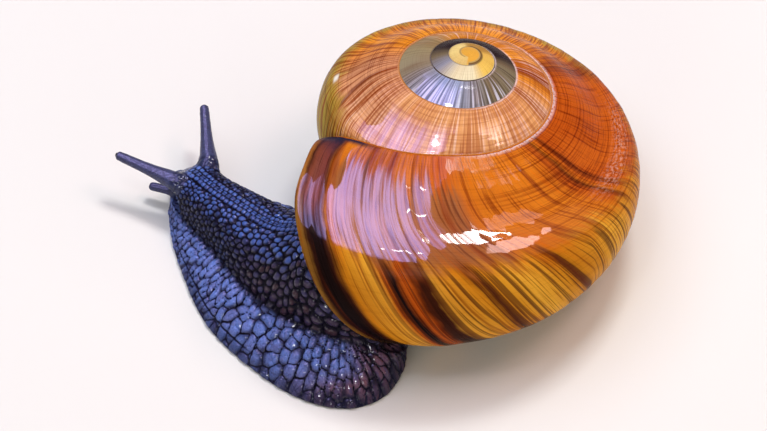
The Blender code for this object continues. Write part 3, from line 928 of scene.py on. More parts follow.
def neck_relief(arc, station, aside, height):
    """Beads of the neck and head, small at the head and tall near the shell: depth of the cut,
    share of groove, each bead's own number, way round from the back and nearness to a rim."""
    groove = at_station(GROOVE_HALF, station)
    base = at_station(GROOVE_HEIGHT, station) - NECK_SUNK
    high = at_station(BACK_HEIGHT, station)
    round_by = np.arctan2(aside / groove, np.clip((height - base) / (high - base), 0.02, 2.0))
    round_by = round_by / (math.pi / 2)                  # 0 on the back, 1 at the crease
    rank = running_count(lambda s: np.interp(s, *BEAD_WIDTH), 34.0)
    a = rank(arc) + 0.7 * (patches(arc / 1.9, round_by * 5.0, 41.0) - 0.5) + round_by * 1.2
    b = round_by * np.interp(arc, *BEADS_ROUND)
    b = b + 0.6 * (patches(arc / 2.3, round_by * 4.0, 43.0) - 0.5)
    first, gap, own = cells(b, a, 0.62, 13.0, 2.4)
    bead = 1 - ease(gap / 0.42)
    # long furrows on the back with a double row of oblong beads between them
    mid = round_by * groove * 1.15
    band = 1 - ease((np.abs(mid) - 0.62) / 0.10)
    start = ease((arc - 2.0) / 0.8)
    row_a = arc / 0.62 + 0.35 * ripple(arc / 1.7, 3.0)
    row_first, row_gap, row_own = cells(row_a, mid / 0.42 + 0.5, 0.18, 17.0, 4.0)
    row = 1 - ease(row_gap / 0.34)
    furrow = 1 - ease(np.abs(np.abs(mid) - 0.66) / 0.13)
    middle = 1 - ease(np.abs(mid) / 0.10)
    use = band * start
    bead = bead * (1 - use) + row * use
    bead = np.maximum(bead, np.maximum(furrow, 0.8 * middle) * start)
    first = first * (1 - use) + row_first * use
    own = np.where(use > 0.5, row_own, own)
    cut = BEAD_CUT * bead + BEAD_DOME * np.clip(first, 0, 0.9) ** 2
    depth = np.interp(arc, *BEAD_SIZE) * cut + FURROW_CUT * furrow * start
    return depth, bead, own, round_by, np.clip(first / 0.7, 0, 1) ** 2


def feeler_share(co, lines, reach):
    """How far each point is out along its nearest feeler, in millimetres."""
    out = np.full(len(co), -9.0)
    off = np.full(len(co), 9.0)
    for base, aim in lines:
        rel = co - base
        t = rel @ aim
        d = np.linalg.norm(rel - t[:, None] * aim, axis=1)
        near = (t > -1.5) & (d < reach) & (d < off)
        out = np.where(near, t, out)
        off = np.where(near, d, off)
    return out


def smooth_skin(eye_lines, low_lines):
    """Flesh from the toe to the tail, filleted, with each point's share of every kind."""
    forms = make_forms(eye_lines, low_lines)
    skin = joined_skin(forms)
    mesh = skin.data
    co, links = read(mesh.vertices, "co"), Links(mesh)
    gaps = nearest_forms(forms, co)
    for form in forms:
        bpy.data.objects.remove(form)
    feeler_gap = gaps[3:].min(0)
    # fillet where two forms meet
    pair = np.sort(np.vstack([gaps[:3], feeler_gap]), axis=0)[1]
    joint = ease(1 - (pair - 0.15) / 0.75)
    root = ease(1 - (np.maximum(feeler_gap, gaps[1]) - 0.1) / 1.5) * ease((gaps[0] - 0.05) / 0.6)
    crease = ease(1 - (np.maximum(gaps[0], gaps[1]) - 0.05) / 0.65)
    joint, root = links.soften(joint, 4), links.soften(root, 6)
    tip_out = feeler_share(co, eye_lines, 0.9)
    keep = ease((tip_out - EYE_STALK_LENGTH + 1.0) / 0.5)
    co = np.stack([links.soften(links.soften(co[:, k], 4, 1 - keep), 10, joint * (1 - keep))
                   for k in range(3)], 1)
    co = np.stack([links.soften(co[:, k], 90, root) for k in range(3)], 1)
    mesh.vertices.foreach_set("co", co.ravel())
    kind = np.vstack([gaps[:3], feeler_gap]).argmin(0)
    weights = [links.soften((kind == k) * 1.0, 3) for k in range(4)]

    # unseen faces
    normal = read(mesh.vertices, "normal")
    sole = (co[:, 2] < 0.05) & (normal[:, 2] < -0.8)
    for name, values in (("foot", weights[0]), ("neck", weights[1]), ("mantle", weights[2]),
                         ("feeler", weights[3]), ("crease", links.soften(crease, 3))):
        store(mesh, name, values)
    thin_out(skin, sole | (kind == 2), SKIN_FACES)
    return skin


def build_skin(eye_lines, low_lines):
    """The flesh with its pebbled relief."""
    skin = smooth_skin(eye_lines, low_lines)
    mesh = skin.data
    co, normal = read(mesh.vertices, "co"), read(mesh.vertices, "normal")
    foot, neck, mantle, feeler = (read(mesh.attributes[name].data, "value", 1)
                                  for name in ("foot", "neck", "mantle", "feeler"))
    station, aside, arc = along_body(co)
    m, inward = along_margin(co)
    near = np.clip(station, 0, 8)                        # station on the head or neck
    flank_depth, flank_groove, flank_own, tail, flank_rim = flank_relief(m, inward, station)
    neck_depth, neck_groove, neck_own, round_by, neck_rim = neck_relief(arc, near, aside, co[:, 2])
    out = feeler_share(co, eye_lines + low_lines, 2.0)
    bare = ease((out + 0.1) / 1.6) * feeler              # feelers grow smooth away from the head
    brow = neck * ease((2.7 - arc) / 0.8) * ease((co[:, 2] - 1.6) / 1.0)
    bare = np.maximum(bare, 0.85 * brow)                 # and the brow ahead of them is smooth
    under = ease((0.35 - co[:, 2]) / 0.25)               # slabs fade at the sole's edge
    depth = (foot * flank_depth * (1 - 0.7 * under) + neck * neck_depth
             + feeler * neck_depth * 0.5) * (1 - bare)
    groove = (foot * flank_groove + neck * neck_groove + feeler * neck_groove * 0.6) * (1 - bare)
    own = np.where(foot > 0.5, flank_own, neck_own)
    flat = ease((normal[:, 2] + 0.75) / 0.2)             # nothing is cut into the sole itself
    depth *= flat * (1 - mantle)
    half = at_station(GROOVE_HALF, near)
    tucked = foot * ease((half + 0.7 - np.abs(aside)) / 0.7) + neck * ease(-0.2 - 3 * normal[:, 2])
    depth *= 1 - 0.92 * tucked * ease((5.6 - arc) / 1.4)  # skin is smoother under the head
    co = co - normal * depth[:, None]
    co[:, 2] = np.maximum(co[:, 2], 0.0)
    mesh.vertices.foreach_set("co", metres(co).ravel())
    for name, values in (("groove", groove), ("own", own), ("tail", tail), ("arc", arc),
                         ("round_by", round_by), ("bare", bare),
                         ("rim", np.where(foot > 0.5, flank_rim, neck_rim)),
                         ("inward", inward)):
        store(mesh, name, values)
    mesh.shade_smooth()
    return skin


# ==== materials
class Wire:
    """A number or colour on its way through a material; arithmetic on it adds nodes."""

    def __init__(self, graph, socket):
        self.graph, self.socket = graph, socket

    def __add__(self, other):
        return self.graph.math("ADD", self, other)

    def __sub__(self, other):
        return self.graph.math("SUBTRACT", self, other)

    def __mul__(self, other):
        return self.graph.math("MULTIPLY", self, other)

    def __abs__(self):
        return self.graph.math("ABSOLUTE", self, 0.0)

    def step(self, low, high, to_low=0.0, to_high=1.0):
        """Smooth step between two values; the limits may run either way."""
        if low > high:
            low, high, to_low, to_high = high, low, to_high, to_low
        limits = dict(enumerate((self, low, high, to_low, to_high)))
        return self.graph.add("MapRange", limits, interpolation_type="SMOOTHSTEP")

    def sway(self, width):
        """Noise moved to lie about zero and made this wide."""
        return (self - 0.5) * width

    def window(self, low, high, soft):
        """One between low and high, zero outside, with soft edges."""
        return self.step(low - soft, low + soft) * self.step(high + soft, high - soft)


def largest(first, *others):
    for other in others:
        first = first.graph.math("MAXIMUM", first, other)
    return first


class Graph:
    """A material and short ways to add to its nodes."""

    def __init__(self, name):
        self.material = bpy.data.materials.new(name)
        self.material.use_nodes = True
        self.tree = self.material.node_tree
        self.tree.nodes.clear()
        self.shader = self.tree.nodes.new("ShaderNodeBsdfPrincipled")
        out = self.tree.nodes.new("ShaderNodeOutputMaterial")
        self.tree.links.new(self.shader.outputs[0], out.inputs[0])

    def link(self, value, socket):
        if isinstance(value, Wire):
            self.tree.links.new(value.socket, socket)
        elif socket.type == "RGBA":
            socket.default_value = (*value, 1.0)
        else:
            socket.default_value = value

    def add(self, kind, inputs, output=0, **settings):
        """One of the outputs of a new node."""
        node = self.tree.nodes.new("ShaderNode" + kind)
        for name, value in settings.items():
            setattr(node, name, value)
        for key, value in inputs.items():
            self.link(value, node.inputs[key])
        return Wire(self, node.outputs[output])

    def math(self, kind, a, b):
        return self.add("Math", {0: a, 1: b}, operation=kind)

    def attr(self, *names):
        return [self.add("Attribute", {}, "Fac", attribute_name=name) for name in names]

    def mix(self, share, a, b, blend="MIX"):
        return self.add("Mix", {0: share, 6: a, 7: b}, 2, data_type="RGBA", blend_type=blend)

    def ramp(self, value, low, high, stops):
        """Colours along a value, given as (value, colour) stops."""
        share = self.add("MapRange", {0: value, 1: low, 2: high})
        wire = self.add("ValToRGB", {0: share})
        items = wire.socket.node.color_ramp.elements
        while len(items) < len(stops):
            items.new(0.5)
        for item, (at, _) in zip(items, sorted(stops)):
            item.position = (at - low) / (high - low)
        for item, (_, colour) in zip(items, sorted(stops)):
            item.color = (*colour, 1.0)
        return wire

    def noise(self, vector, scale, detail, rough):
        return self.add("TexNoise", {"Vector": vector, "Scale": scale, "Detail": detail,
                                     "Roughness": rough}, "Fac")

    def grain(self, x, y, z=0.0, detail=2.0, rough=0.5):
        """Noise over two or three given coordinates, about 0.5 on average."""
        return self.noise(self.add("CombineXYZ", {0: x, 1: y, 2: z}), 1.0, detail, rough)

    def object_grain(self, per_mm, detail=2.0, rough=0.5):
        """Noise through the object's own space."""
        return self.noise(self.add("TexCoord", {}, "Object"), per_mm / MM, detail, rough)

    def bump(self, height, depth_mm, strength=1.0):
        self.set(Normal=self.add("Bump", {"Height": height, "Distance": depth_mm * MM,
                                          "Strength": strength}))

    def paint(self, share, colour, blend="MIX"):
        """Lays a colour over what the graph has so far."""
        self.colour = self.mix(share, self.colour, colour, blend)

    def set(self, **values):
        """Inputs of the surface shader, with _ for the spaces in their names."""
        for name, value in values.items():
            self.link(value, self.shader.inputs[name.replace("_", " ")])


GOLD = (0.60, 0.235, 0.010)
PALE_GOLD = (0.76, 0.38, 0.035)
ORANGE = (0.58, 0.165, 0.010)
LIGHT_ORANGE = (0.80, 0.30, 0.014)
DEEP_ORANGE = (0.50, 0.10, 0.008)
RUST = (0.26, 0.045, 0.006)
BROWN = (0.075, 0.018, 0.006)
BLACK_BROWN = (0.010, 0.005, 0.005)
OLIVE = (0.40, 0.28, 0.040)
MAUVE_BROWN = (0.66, 0.33, 0.16)
TAN = (0.66, 0.32, 0.12)
TAUPE = (0.18, 0.145, 0.085)
SKY_REFLECTION_BLUE = (0.27, 0.36, 0.62)
SILVER_SHEEN_GREY = (0.26, 0.28, 0.36)
DARK_PURPLE = (0.018, 0.007, 0.010)
CREAM = (0.74, 0.68, 0.44)
YELLOW = (0.74, 0.50, 0.10)
PALE_YELLOW = (0.78, 0.62, 0.22)
HONEY = (0.46, 0.28, 0.05)
VEIL_BROWN = (0.27, 0.115, 0.04)
RIDGE_PINK = (0.82, 0.56, 0.44)
LINE_BLACK = (0.04, 0.034, 0.03)
RIB_SHEEN_WHITE = (0.66, 0.7, 0.86)
CHALK = (0.72, 0.46, 0.36)
SCAR_WHITE = (0.8, 0.76, 0.66)
SEAM_DARK = (0.06, 0.028, 0.022)
SEAM_BROWN = (0.2, 0.085, 0.02)
SEAM_MILK = (0.7, 0.58, 0.57)
STAIN = (0.012, 0.014, 0.035)
NAVEL_GREEN = (0.46, 0.33, 0.09)
PEARL_GREY = (0.42, 0.4, 0.42)
PEARL_WHITE = (0.58, 0.54, 0.5)

# Colours across the last turn, by growth angle in degrees: above, then below the shoulder
UPPER_BANDS = (
    (0, (0.34, 0.13, 0.02)), (-2.2, (0.34, 0.13, 0.02)), (-3, BROWN), (-4, (0.22, 0.06, 0.03)),
    (-9, (0.20, 0.05, 0.04)), (-11.5, BROWN), (-14, ORANGE), (-24, ORANGE), (-28, RUST),
    (-33, ORANGE), (-37.5, RUST), (-41, ORANGE), (-58, DEEP_ORANGE), (-70, ORANGE),
    (-104, ORANGE), (-110, DEEP_ORANGE), (-112, BROWN), (-114, ORANGE), (-116.5, DEEP_ORANGE),
    (-118, BROWN), (-120, DEEP_ORANGE), (-150, DEEP_ORANGE), (-178, DEEP_ORANGE), (-186, RUST),
    (-194, ORANGE), (-215, LIGHT_ORANGE), (-305, LIGHT_ORANGE), (-325, MAUVE_BROWN),
    (-334, MAUVE_BROWN), (-337, RUST), (-340, MAUVE_BROWN), (-400, MAUVE_BROWN))
LOWER_BANDS = (
    (0, (0.30, 0.15, 0.02)), (-2.9, (0.24, 0.12, 0.02)), (-4.0, BROWN), (-5.0, BLACK_BROWN),
    (-10.2, BLACK_BROWN), (-12.0, BROWN), (-13.6, GOLD), (-24, PALE_GOLD), (-26.6, DEEP_ORANGE),
    (-28, BLACK_BROWN), (-30.5, BLACK_BROWN), (-32, DEEP_ORANGE), (-34.5, DEEP_ORANGE),
    (-36, BLACK_BROWN), (-38.4, BROWN), (-39.2, PALE_GOLD), (-46, GOLD), (-47.5, BROWN),
    (-49, BROWN), (-50.5, GOLD), (-60, PALE_GOLD), (-70, GOLD), (-71.5, RUST),
    (-72.5, BROWN), (-74, GOLD), (-94, PALE_GOLD), (-140, GOLD), (-210, OLIVE),
    (-300, OLIVE), (-345, GOLD), (-400, GOLD))
# Colours of the older turns, by growth angle in degrees; the silver is partly a painted sheen, and
# the pale blue is a painted reflection of the sky
SPIRE_BANDS = (
    (-360, MAUVE_BROWN), (-380, TAN), (-490, TAN), (-497, RUST),
    (-503, TAN), (-520, LIGHT_ORANGE), (-524, RUST), (-532, RUST), (-537, ORANGE),
    (-543, RUST), (-549, LIGHT_ORANGE), (-630, GOLD), (-650, (0.30, 0.24, 0.10)),
    (-712, (0.26, 0.22, 0.15)), (-732, SILVER_SHEEN_GREY), (-755, SKY_REFLECTION_BLUE), (-788, SILVER_SHEEN_GREY), (-822, TAUPE),
    (-880, TAUPE), (-900, DARK_PURPLE), (-1030, DARK_PURPLE), (-1058, TAUPE),
    (-1088, SILVER_SHEEN_GREY), (-1125, CREAM), (-1165, CREAM), (-1190, YELLOW),
    (-1255, YELLOW), (-1270, HONEY), (-1335, HONEY), (-1350, PALE_YELLOW),
    (-1504, PALE_YELLOW), (-1511, (0.78, 0.44, 0.06)))


def shell_material():
    g = Graph("horn_shell")
    grow, place, inside, along, across = g.attr("growth", "place", "inside", "along", "across")

    def lines(per_along, per_across, seed=0, detail=2, rough=0.5):
        """Noise drawn out along the growth lines, in cells per millimetre."""
        return g.grain(along * per_along, across * per_across, seed, detail, rough)

    waver = lines(0.5, 0.35, detail=3)
    at = grow + waver.sway(3.2)
    upper = g.ramp(at, -400, 0, UPPER_BANDS)
    lower = g.ramp(at, -400, 0, LOWER_BANDS)
    spire = g.ramp(at, -1512, -360, SPIRE_BANDS)
    edge = place + lines(1.3, 0.25).sway(0.18)
    low_share = edge.step(0.4, 0.53)
    # the dark lip band reaches further up than the golden ground does
    low_share = largest(low_share, edge.step(0.3, 0.46) * at.step(-14, -10.5))
    g.colour = g.mix(low_share, upper, lower)
    # greener towards the shoulder on the far side
    green = grow.window(-345, -185, 14) * edge.step(0.28, 0.42)
    g.paint(green, OLIVE)
    drip = lines(1.9, 0.045, 6)
    ragged = place + drip.sway(0.3)
    veil = at.window(-64, -15, 3) * ragged.step(0.09, 0.17) * edge.step(0.5, 0.42)
    g.paint(veil * 0.75, VEIL_BROWN)
    old = at.step(-371, -377)
    g.paint(old, spire)

    # fine growth lines, as light and dark hairs
    hair = lines(3.4, 0.1, detail=3, rough=0.62)
    hair_age = g.grain(grow * 0.6, across * 0.16, detail=3, rough=0.6)
    hair = hair * grow.step(-900, -600) + hair_age * grow.step(-600, -900)
    aged = grow.step(-360, -374)
    hair_dark = hair.step(0.5, 0.36) * aged.step(0, 1, 0.62, 0.3)
    g.paint(hair_dark, RUST, "MULTIPLY")
    g.paint(hair.step(0.55, 0.72, 0, 0.4) * grow.step(-720, -640), PALE_GOLD, "SOFT_LIGHT")
    comb = lines(4.6, 0.1, 11, detail=1)
    comb_zone = grow.window(-660, -190, 12) * aged.step(0, 1, 0.8, 0.42)
    g.paint(comb.step(0.48, 0.4) * comb_zone, RUST)
    # pale ridges between them on the older turn, crossed by faint threads
    ridge = comb.step(0.55, 0.66) * grow.window(-650, -340, 12) * 0.55
    g.paint(ridge, RIDGE_PINK)
    # on the grey turn they are nearly black, with bluish white lines between them that are a
    # painted sheen
    grey_turn = grow.window(-1040, -712, 14)
    g.paint(comb.step(0.5, 0.4) * grey_turn * 0.55, LINE_BLACK)
    rib_sheen = comb.step(0.54, 0.64) * grow.window(-850, -725, 20)
    g.paint(rib_sheen * place.step(0.02, 0.2, 0.35, 1) * 0.75, RIB_SHEEN_WHITE)
    weft = g.grain(along * 0.1, place * 62, 17, detail=1)
    weft_share = weft.step(0.52, 0.44) * grow.window(-640, -345, 15) * 0.3
    g.paint(weft_share, RUST)
    # broader streaks of red-brown
    streak = lines(0.95, 0.05, 3, detail=3, rough=0.6)
    streak_share = (streak.step(0.54, 0.66) * grow.step(-400, -200, 0.1, 1)
                    * place.step(0.95, 0.75) * edge.step(0.54, 0.46, 0.3, 1))
    g.paint(streak_share * 0.62, RUST)
    low_streak = lines(2.7, 0.03, 9)
    fresh = grow.step(-520, -300)
    low_lines = low_streak.step(0.565, 0.61) * edge.step(0.42, 0.52) * grow.step(-15, -30)
    g.paint(low_lines * fresh * 0.72, BROWN)
    thin = lines(4.6, 0.03, 27, detail=1)
    thin_lines = thin.step(0.6, 0.66) * edge.step(0.42, 0.52) * grow.window(-190, -36, 10)
    g.paint(thin_lines * 0.75, BROWN)
    tone = lines(0.22, 0.12, 5)
    g.paint(tone.step(0.35, 0.65, 0.3, 0), DEEP_ORANGE, "MULTIPLY")

    # threads that run with the coil, redder behind the shoulder
    thread = g.grain(along * 0.06, place * 130, 2, rough=0.7)
    thread_zone = grow.window(-330, -85, 25) * place.step(0.62, 0.4)
    g.paint(thread.step(0.5, 0.38) * (thread_zone * 0.5 + 0.1), RUST, "MULTIPLY")
    for middle, width, share in ((0.268, 0.006, 0.85), (0.222, 0.004, 0.55), (0.190, 0.004, 0.45),
                                 (0.302, 0.006, 0.80), (0.335, 0.007, 0.80), (0.365, 0.007, 0.80),
                                 (0.400, 0.007, 0.75), (0.440, 0.006, 0.70)):
        line = place.window(middle - width / 2, middle + width / 2, width / 2)
        worn = g.grain(along * 0.8, place * 40, middle).step(0.4, 0.55)
        reach = (-185, -86) if middle < 0.29 else (-150, -94)
        g.paint(line * worn * grow.window(*reach, 8) * share, RUST)

    # chalky wear, a scar and the milky seam
    fleck = lines(2.6, 2.2, 7, detail=3, rough=0.7)
    chalk_zone = grow.window(-160, -112, 12) * place.window(0.33, 0.41, 0.03)
    g.paint(fleck.step(0.44, 0.66) * chalk_zone * 0.42, CHALK)
    scar = grow.window(-324, -321, 1.2) * place.window(0.36, 0.4, 0.012)
    g.paint(scar * 0.9, SCAR_WHITE)
    line = across.step(0.2, 0.05) * grow.window(-1330, -360, 20) * 0.8
    g.paint(line, SEAM_DARK)
    inmost = across.step(0.1, 0.04) * grow.window(-1490, -1335, 12) * 0.5
    g.paint(inmost, SEAM_BROWN)
    seam = largest(grow.window(-215, -75, 20), grow.window(-565, -440, 20),
                   grow.window(-925, -820, 20))
    seam = (seam * (across * grow.step(-300, -200, 1, 0.36)).step(0.34, 0.08)
            * fleck.step(0.34, 0.55))
    g.paint(seam * 0.85, SEAM_MILK)
    # dark stain where the lip meets the turn before
    stain = (place + fleck.sway(0.06)).step(0.16, 0.02) * at.step(-15, -9)
    stain = largest(stain, place.step(0.05, 0.015) * at.step(-32, -18))
    g.paint(stain, STAIN)
    # paler and greener towards the navel
    base = place.step(0.7, 0.95)
    g.paint(base * 0.6, NAVEL_GREEN)
    # pearly inside
    glaze = g.mix(lines(0.8, 0.3).step(0.3, 0.7), PEARL_GREY, PEARL_WHITE)
    g.paint(inside.step(0.35, 0.95), glaze)

    rough = lines(1.1, 0.7, 4, detail=3) * 0.24 + 0.08
    # wet on top of the newest horn and on the old turns, nearly dry below and behind
    wet = (ragged.step(0.09, 0.17, 0.12, 1)
           * (place + drip.sway(0.2) + grow.step(-44, -56, 0, 0.05)).step(0.54, 0.47)
           * place.step(0.468, 0.452))
    newest = largest(grow.step(-72, -60, 0.22, 1),
                     grow.window(-100, -60, 5) * place.window(0.31, 0.5, 0.02))
    newest = newest * grow.step(-165, -110, 0, 1) * place.step(0.53, 0.5)
    # the wet film is thin on the ridges of the growth lines
    film = lines(2.3, 0.06, 13, detail=3, rough=0.6)
    older = largest(grow.window(-470, -366, 12) * 0.9 * place.window(0.15, 0.86, 0.06)
                    * film.step(0.36, 0.58, 0.35, 1),
                    grow.window(-800, -722, 15) * comb.step(0.4, 0.54, 0.15, 0.7)
                    * place.window(0.1, 0.6, 0.06))
    thick = largest(film.step(0.38, 0.6, 0.08, 1), grow.step(-56, -62, 0, 0.9))
    newest = (newest * thick * grow.step(-46, -38, 0.78, 1)
              * grow.step(-15, -11, 1, 0.55))
    wet = largest(wet * newest, older)
    g.set(Base_Color=g.colour, Roughness=rough, IOR=1.45, Coat_Weight=wet, Coat_Roughness=0.05,
          Coat_IOR=1.75, Specular_IOR_Level=0.012)
    g.bump(hair * place.step(0.97, 0.85) + thread * 0.35, 0.075, 0.8)
    return g.material


SLATE_BLUE = (0.125, 0.230, 0.66)
VIOLET_BLUE = (0.125, 0.155, 0.42)
SLATE_GREY = (0.055, 0.062, 0.14)
RIM_SHADE_VIOLET = (0.020, 0.016, 0.046)
PURPLE_BROWN = (0.170, 0.078, 0.110)
GROOVE_SHADE_BLACK = (0.004, 0.003, 0.009)
SPECK_VIOLET = (0.16, 0.12, 0.24)
SPECK_GLINT_PALE = (0.42, 0.34, 0.5)
DULL_BLUE = (0.055, 0.05, 0.13)
SHADE_BLUE = (0.045, 0.05, 0.155)
LIT_BLUE = (0.235, 0.33, 0.86)
NECK_SHADE_INK = (0.013, 0.016, 0.046)
NECK_SHADE_PLUM = (0.042, 0.02, 0.03)
NECK_BLUE = (0.065, 0.13, 0.44)
SOLE_EDGE_SHADE = (0.014, 0.014, 0.04)
STALK_INK = (0.04, 0.038, 0.085)
ROOT_INK = (0.018, 0.02, 0.05)
MANTLE_SHADE_BLACK = (0.01, 0.008, 0.014)
EYE_BLACK = (0.004, 0.004, 0.007)
EYE_GREY = (0.01, 0.01, 0.018)
EYE_RIM = (0.03, 0.03, 0.06)
FLOOR_TONE = (0.7, 0.695, 0.655)
FLOOR_LIGHT = (0.76, 0.755, 0.71)


def skin_material():
    g = Graph("wet_skin")
    groove, own, tail = g.attr("groove", "own", "tail")
    foot, neck, mantle = g.attr("foot", "neck", "mantle")
    bare, feeler, arc, side = g.attr("bare", "feeler", "arc", "round_by")
    crease, rim, inward = g.attr("crease", "rim", "inward")
    cloud = g.object_grain(0.35, 3, 0.6)
    speck = g.object_grain(2.6, 3, 0.65)
    fine = g.object_grain(7, 2, 0.6)
    g.colour = g.mix((own + cloud.sway(1.2)).step(0.15, 0.85), VIOLET_BLUE, SLATE_BLUE)
    g.paint(speck.step(0.48, 0.7, 0, 0.45), SPECK_VIOLET)
    # painted shade: the neck is bluest along the back where the light falls, and dark purple down
    # its side and behind the furrows, where it is in shade
    away = abs(side)
    blue = away.step(0.7, 0.18) * side.step(-0.24, -0.05, 0.25, 1)
    blue = blue * 0.85 + (own * 0.55 - 0.3)
    blue = largest(blue, arc.step(4.8, 2.6, 0, 0.9))
    # painted shade colour of the neck, turning plum towards the shell
    dark = g.mix(arc.step(12, 18), NECK_SHADE_INK, NECK_SHADE_PLUM)
    bead = g.mix(blue.step(0.05, 0.75), dark, NECK_BLUE)
    bead = g.mix(arc.step(4.8, 2.6) * 0.6, bead, SLATE_BLUE)
    g.paint(neck, bead)
    browner = tail + cloud.sway(0.5)
    g.paint(foot * browner.step(0.05, 0.62), PURPLE_BROWN)
    g.paint(foot * own.step(0.55, 0.95) * 0.35, DULL_BLUE)
    shade = g.grain(own * 37, 0, 21, detail=0)
    g.paint(shade.step(0.36, 0.6, 0.55, 0), SHADE_BLUE)
    # pale pinkish grains, partly painted glints, mostly away from the neck
    g.paint(fine.step(0.6, 0.72) * speck.step(0.5, 0.65) * neck.step(0.9, 0.4, 0.06, 0.55),
            SPECK_GLINT_PALE)
    # painted shade darkens each cell towards its rim, and a painted highlight lightens the middles
    # of the foot's slabs, so the cells look puffy
    g.paint(rim.step(0.08, 0.8, 0, 0.78), RIM_SHADE_VIOLET)
    dip = largest(neck, foot * tail.step(0.1, 0.8, 0, 0.75))
    g.paint(dip * rim.step(0.1, 0.5, 0, 0.8), GROOVE_SHADE_BLACK)
    lit = foot * cloud.step(0.3, 0.62) * tail.step(0.5, 0) * fine.step(0.34, 0.6, 0.3, 1)
    g.paint(lit * rim.step(0.6, 0.1) * 0.45, LIT_BLUE)
    # painted shade fills the grooves, more so on the tail
    cut = groove + foot * tail.step(0.1, 0.8, 0, 0.14)
    g.paint(cut.step(0.3, 0.78), GROOVE_SHADE_BLACK)
    # painted shade: the sole's edge, where it turns under, is darker
    edge = foot * inward.step(1.3, 0.1, 0, 0.7) * arc.step(5, 11, 0.2, 1)
    g.paint(edge, SOLE_EDGE_SHADE)
    # painted shade in the crease between the neck and the foot
    g.paint(crease * arc.step(1, 3) * 0.92, GROOVE_SHADE_BLACK)
    root = bare.step(0.75, 0.25)
    stalk = g.mix(fine.step(0.4, 0.62), SLATE_GREY, STALK_INK)
    stalk = g.mix(root, stalk, ROOT_INK)
    smooth = largest(bare, feeler * 0.92)
    g.paint(smooth, stalk)
    # the mantle's dark flesh is painted near black, as the shade inside the aperture
    g.paint(mantle.step(0.3, 0.8), MANTLE_SHADE_BLACK)
    rough = groove * 0.12 + 0.27 + (speck * 0.16 - 0.03)
    # slime gathers in small wet spots on the tops, and films the feelers
    spots = g.object_grain(4.6, 1, 0.5).step(0.5, 0.57) * groove.step(0.6, 0.2)
    film = largest(spots * 0.9, smooth * 0.4)
    g.set(Base_Color=g.colour, Roughness=rough, IOR=1.38, Specular_IOR_Level=0.01,
          Coat_Weight=largest(film, 0.12), Coat_Roughness=0.06)
    lumps = fine * 0.7 + speck * 1.3
    lumps = (lumps + spots * 0.35) * smooth.step(0.2, 0.8, 1, 0.35)
    g.bump(lumps, 0.11, 1)
    return g.material


def eye_material():
    g = Graph("eye_lens")
    [axial] = g.attr("axial")
    ring = axial.step(0.8, 0.62)
    mottle = g.object_grain(6, 2, 0.6)
    dark = g.mix(mottle.step(0.4, 0.7), EYE_BLACK, EYE_GREY)
    colour = g.mix(ring, dark, EYE_RIM)
    g.set(Base_Color=colour, Roughness=mottle * 0.06 + 0.05, IOR=1.45, Coat_Weight=0.6,
          Coat_Roughness=0.03)
    return g.material


def floor_material():
    g = Graph("studio_floor")
    spread = g.object_grain(0.004, 2, 0.5)
    colour = g.mix(spread, FLOOR_TONE, FLOOR_LIGHT)
    g.set(Base_Color=colour, Roughness=0.85, Specular_IOR_Level=0.2)
    return g.material


# ==== eyes
def build_eye(name, line, cad_name):
    """Black bead with a domed lens, set in the tip of its stalk."""
    base, aim = line
    centre = base + aim * EYE_STALK_LENGTH
    radius = EYE_RADIUS - 0.03
    polar = np.linspace(0, math.pi, 29)
    lens = 0.035 * ease((0.75 - polar) / 0.45)
    ring = -0.014 * np.exp(-((polar - 0.80) / 0.10) ** 2)
    size = radius + lens + ring
    around = spokes(aim, 36)
    points, axial = [centre + aim * size[0]], [1.0]
    for p, r in zip(polar[1:-1], size[1:-1]):
        points.extend(centre + aim * r * math.cos(p) + around * r * math.sin(p))
        axial.extend([math.cos(p)] * len(around))
    points.append(centre - aim * size[-1])
    axial.append(-1.0)
    rows = 1 + np.arange((len(polar) - 2) * len(around)).reshape(-1, len(around))
    rows = np.hstack([rows, rows[:, :1]])
    faces = grid_faces(rows)
    faces += [[0, int(b), int(a)] for a, b in zip(rows[0], rows[0][1:])]
    end = len(points) - 1
    faces += [[end, int(a), int(b)] for a, b in zip(rows[-1], rows[-1][1:])]
    eye = make_mesh(name, metres(np.array(points)), faces)
    store(eye.data, "axial", axial)
    clean(eye.data)
    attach(eye, "root")
    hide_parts(cad_name)
    return eye


# ==== stage
def build_camera():
    data = bpy.data.cameras.new("camera")
    data.lens = LENS
    data.sensor_width = SENSOR
    data.clip_start = 0.05
    data.clip_end = 20.0
    camera = add_object("camera", data)
    bpy.context.scene.camera = camera
    target = metres(VIEW_TARGET)
    flat = math.cos(VIEW_ELEVATION)
    way = np.array((math.sin(VIEW_AZIMUTH) * flat, -math.cos(VIEW_AZIMUTH) * flat,
                    math.sin(VIEW_ELEVATION)))
    reach = (VIEW_WIDTH * LENS / SENSOR + VIEW_DEPTH) * MM
    camera.location = target + way * reach
    aim = Vector(target) - camera.location
    camera.rotation_euler = aim.to_track_quat("-Z", "Y").to_euler()


def softbox(name, direction, size, radiance, colour, distance, seen):
    """Rectangular light facing the animal."""
    direction = unit(np.array(direction))
    data = bpy.data.lights.new(name, "AREA")
    data.shape = "RECTANGLE"
    data.size, data.size_y = size
    data.energy = radiance * math.pi * size[0] * size[1]
    data.color = colour
    lamp = add_object(name, data)
    lamp.location = direction * distance + LIGHT_AIM
    lamp.rotation_euler = Vector(direction).to_track_quat("Z", "Y").to_euler()
    lamp.visible_camera = False
    lamp.visible_diffuse = seen != "gloss"
    lamp.visible_glossy = seen != "soft"


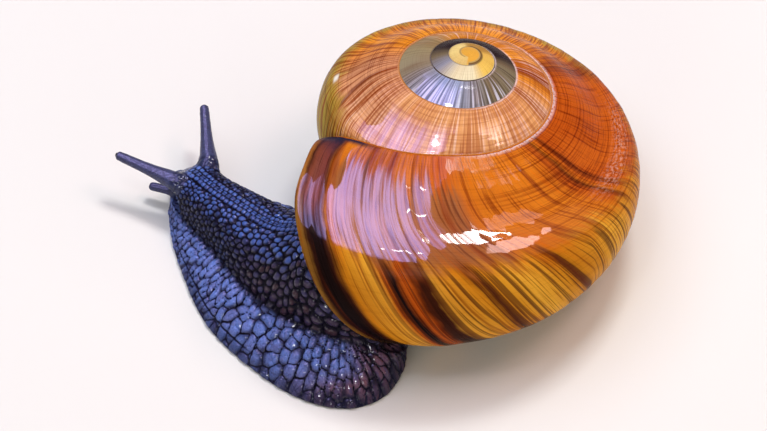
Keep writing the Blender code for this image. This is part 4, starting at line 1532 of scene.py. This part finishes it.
def build_lights():
    for light in LIGHTS:
        softbox(*light)
    world = bpy.data.worlds.new("studio")
    world.use_nodes = True
    shader = world.node_tree.nodes["Background"]
    shader.inputs[0].default_value = (*WORLD_COLOUR, 1.0)
    shader.inputs[1].default_value = WORLD_STRENGTH
    bpy.context.scene.world = world


def build_floor():
    line = np.linspace(-FLOOR_SIZE / 2, FLOOR_SIZE / 2, FLOOR_STEPS + 1)
    x, y = np.meshgrid(line, line)
    points = np.stack([x.ravel(), y.ravel(), np.full(x.size, -FLOOR_GAP)], 1)
    index = np.arange(x.size).reshape(x.shape)
    floor = make_mesh("floor", points, grid_faces(index))
    floor.data.materials.append(floor_material())


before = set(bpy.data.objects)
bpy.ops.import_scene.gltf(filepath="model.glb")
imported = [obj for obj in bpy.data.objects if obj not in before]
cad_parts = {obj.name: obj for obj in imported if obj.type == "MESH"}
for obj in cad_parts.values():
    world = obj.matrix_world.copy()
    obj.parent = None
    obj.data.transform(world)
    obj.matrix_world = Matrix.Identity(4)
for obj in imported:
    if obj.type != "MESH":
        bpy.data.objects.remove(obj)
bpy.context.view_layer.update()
build_camera()
shell = build_shell()
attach(shell, "root")
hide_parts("shell")
eye_lines = [feeler_line(EYE_STALK_ROOT, EYE_STALK_SPREAD, EYE_STALK_RISE, side)
             for side in (1, -1)]
low_lines = [feeler_line(LOWER_FEELER_ROOT, LOWER_FEELER_SPREAD, LOWER_FEELER_RISE, side)
             for side in (1, -1)]
skin = build_skin(eye_lines, low_lines)
FLESH = ("head", "neck", "foot_front", "foot_middle", "tail", "mantle", "eye_stalk_left",
         "eye_stalk_right", "lower_feeler_left", "lower_feeler_right")
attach(skin, "root")
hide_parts(*FLESH)
skin.data.materials.append(skin_material())
shell.data.materials.append(shell_material())
lens = eye_material()
for eye_name, eye_line in zip(("eye_left", "eye_right"), eye_lines):
    build_eye("eye_bead" + eye_name[3:], eye_line, eye_name).data.materials.append(lens)

build_lights()
build_floor()
bpy.context.scene.view_settings.view_transform = "Standard"
bpy.context.scene.view_settings.exposure = EXPOSURE
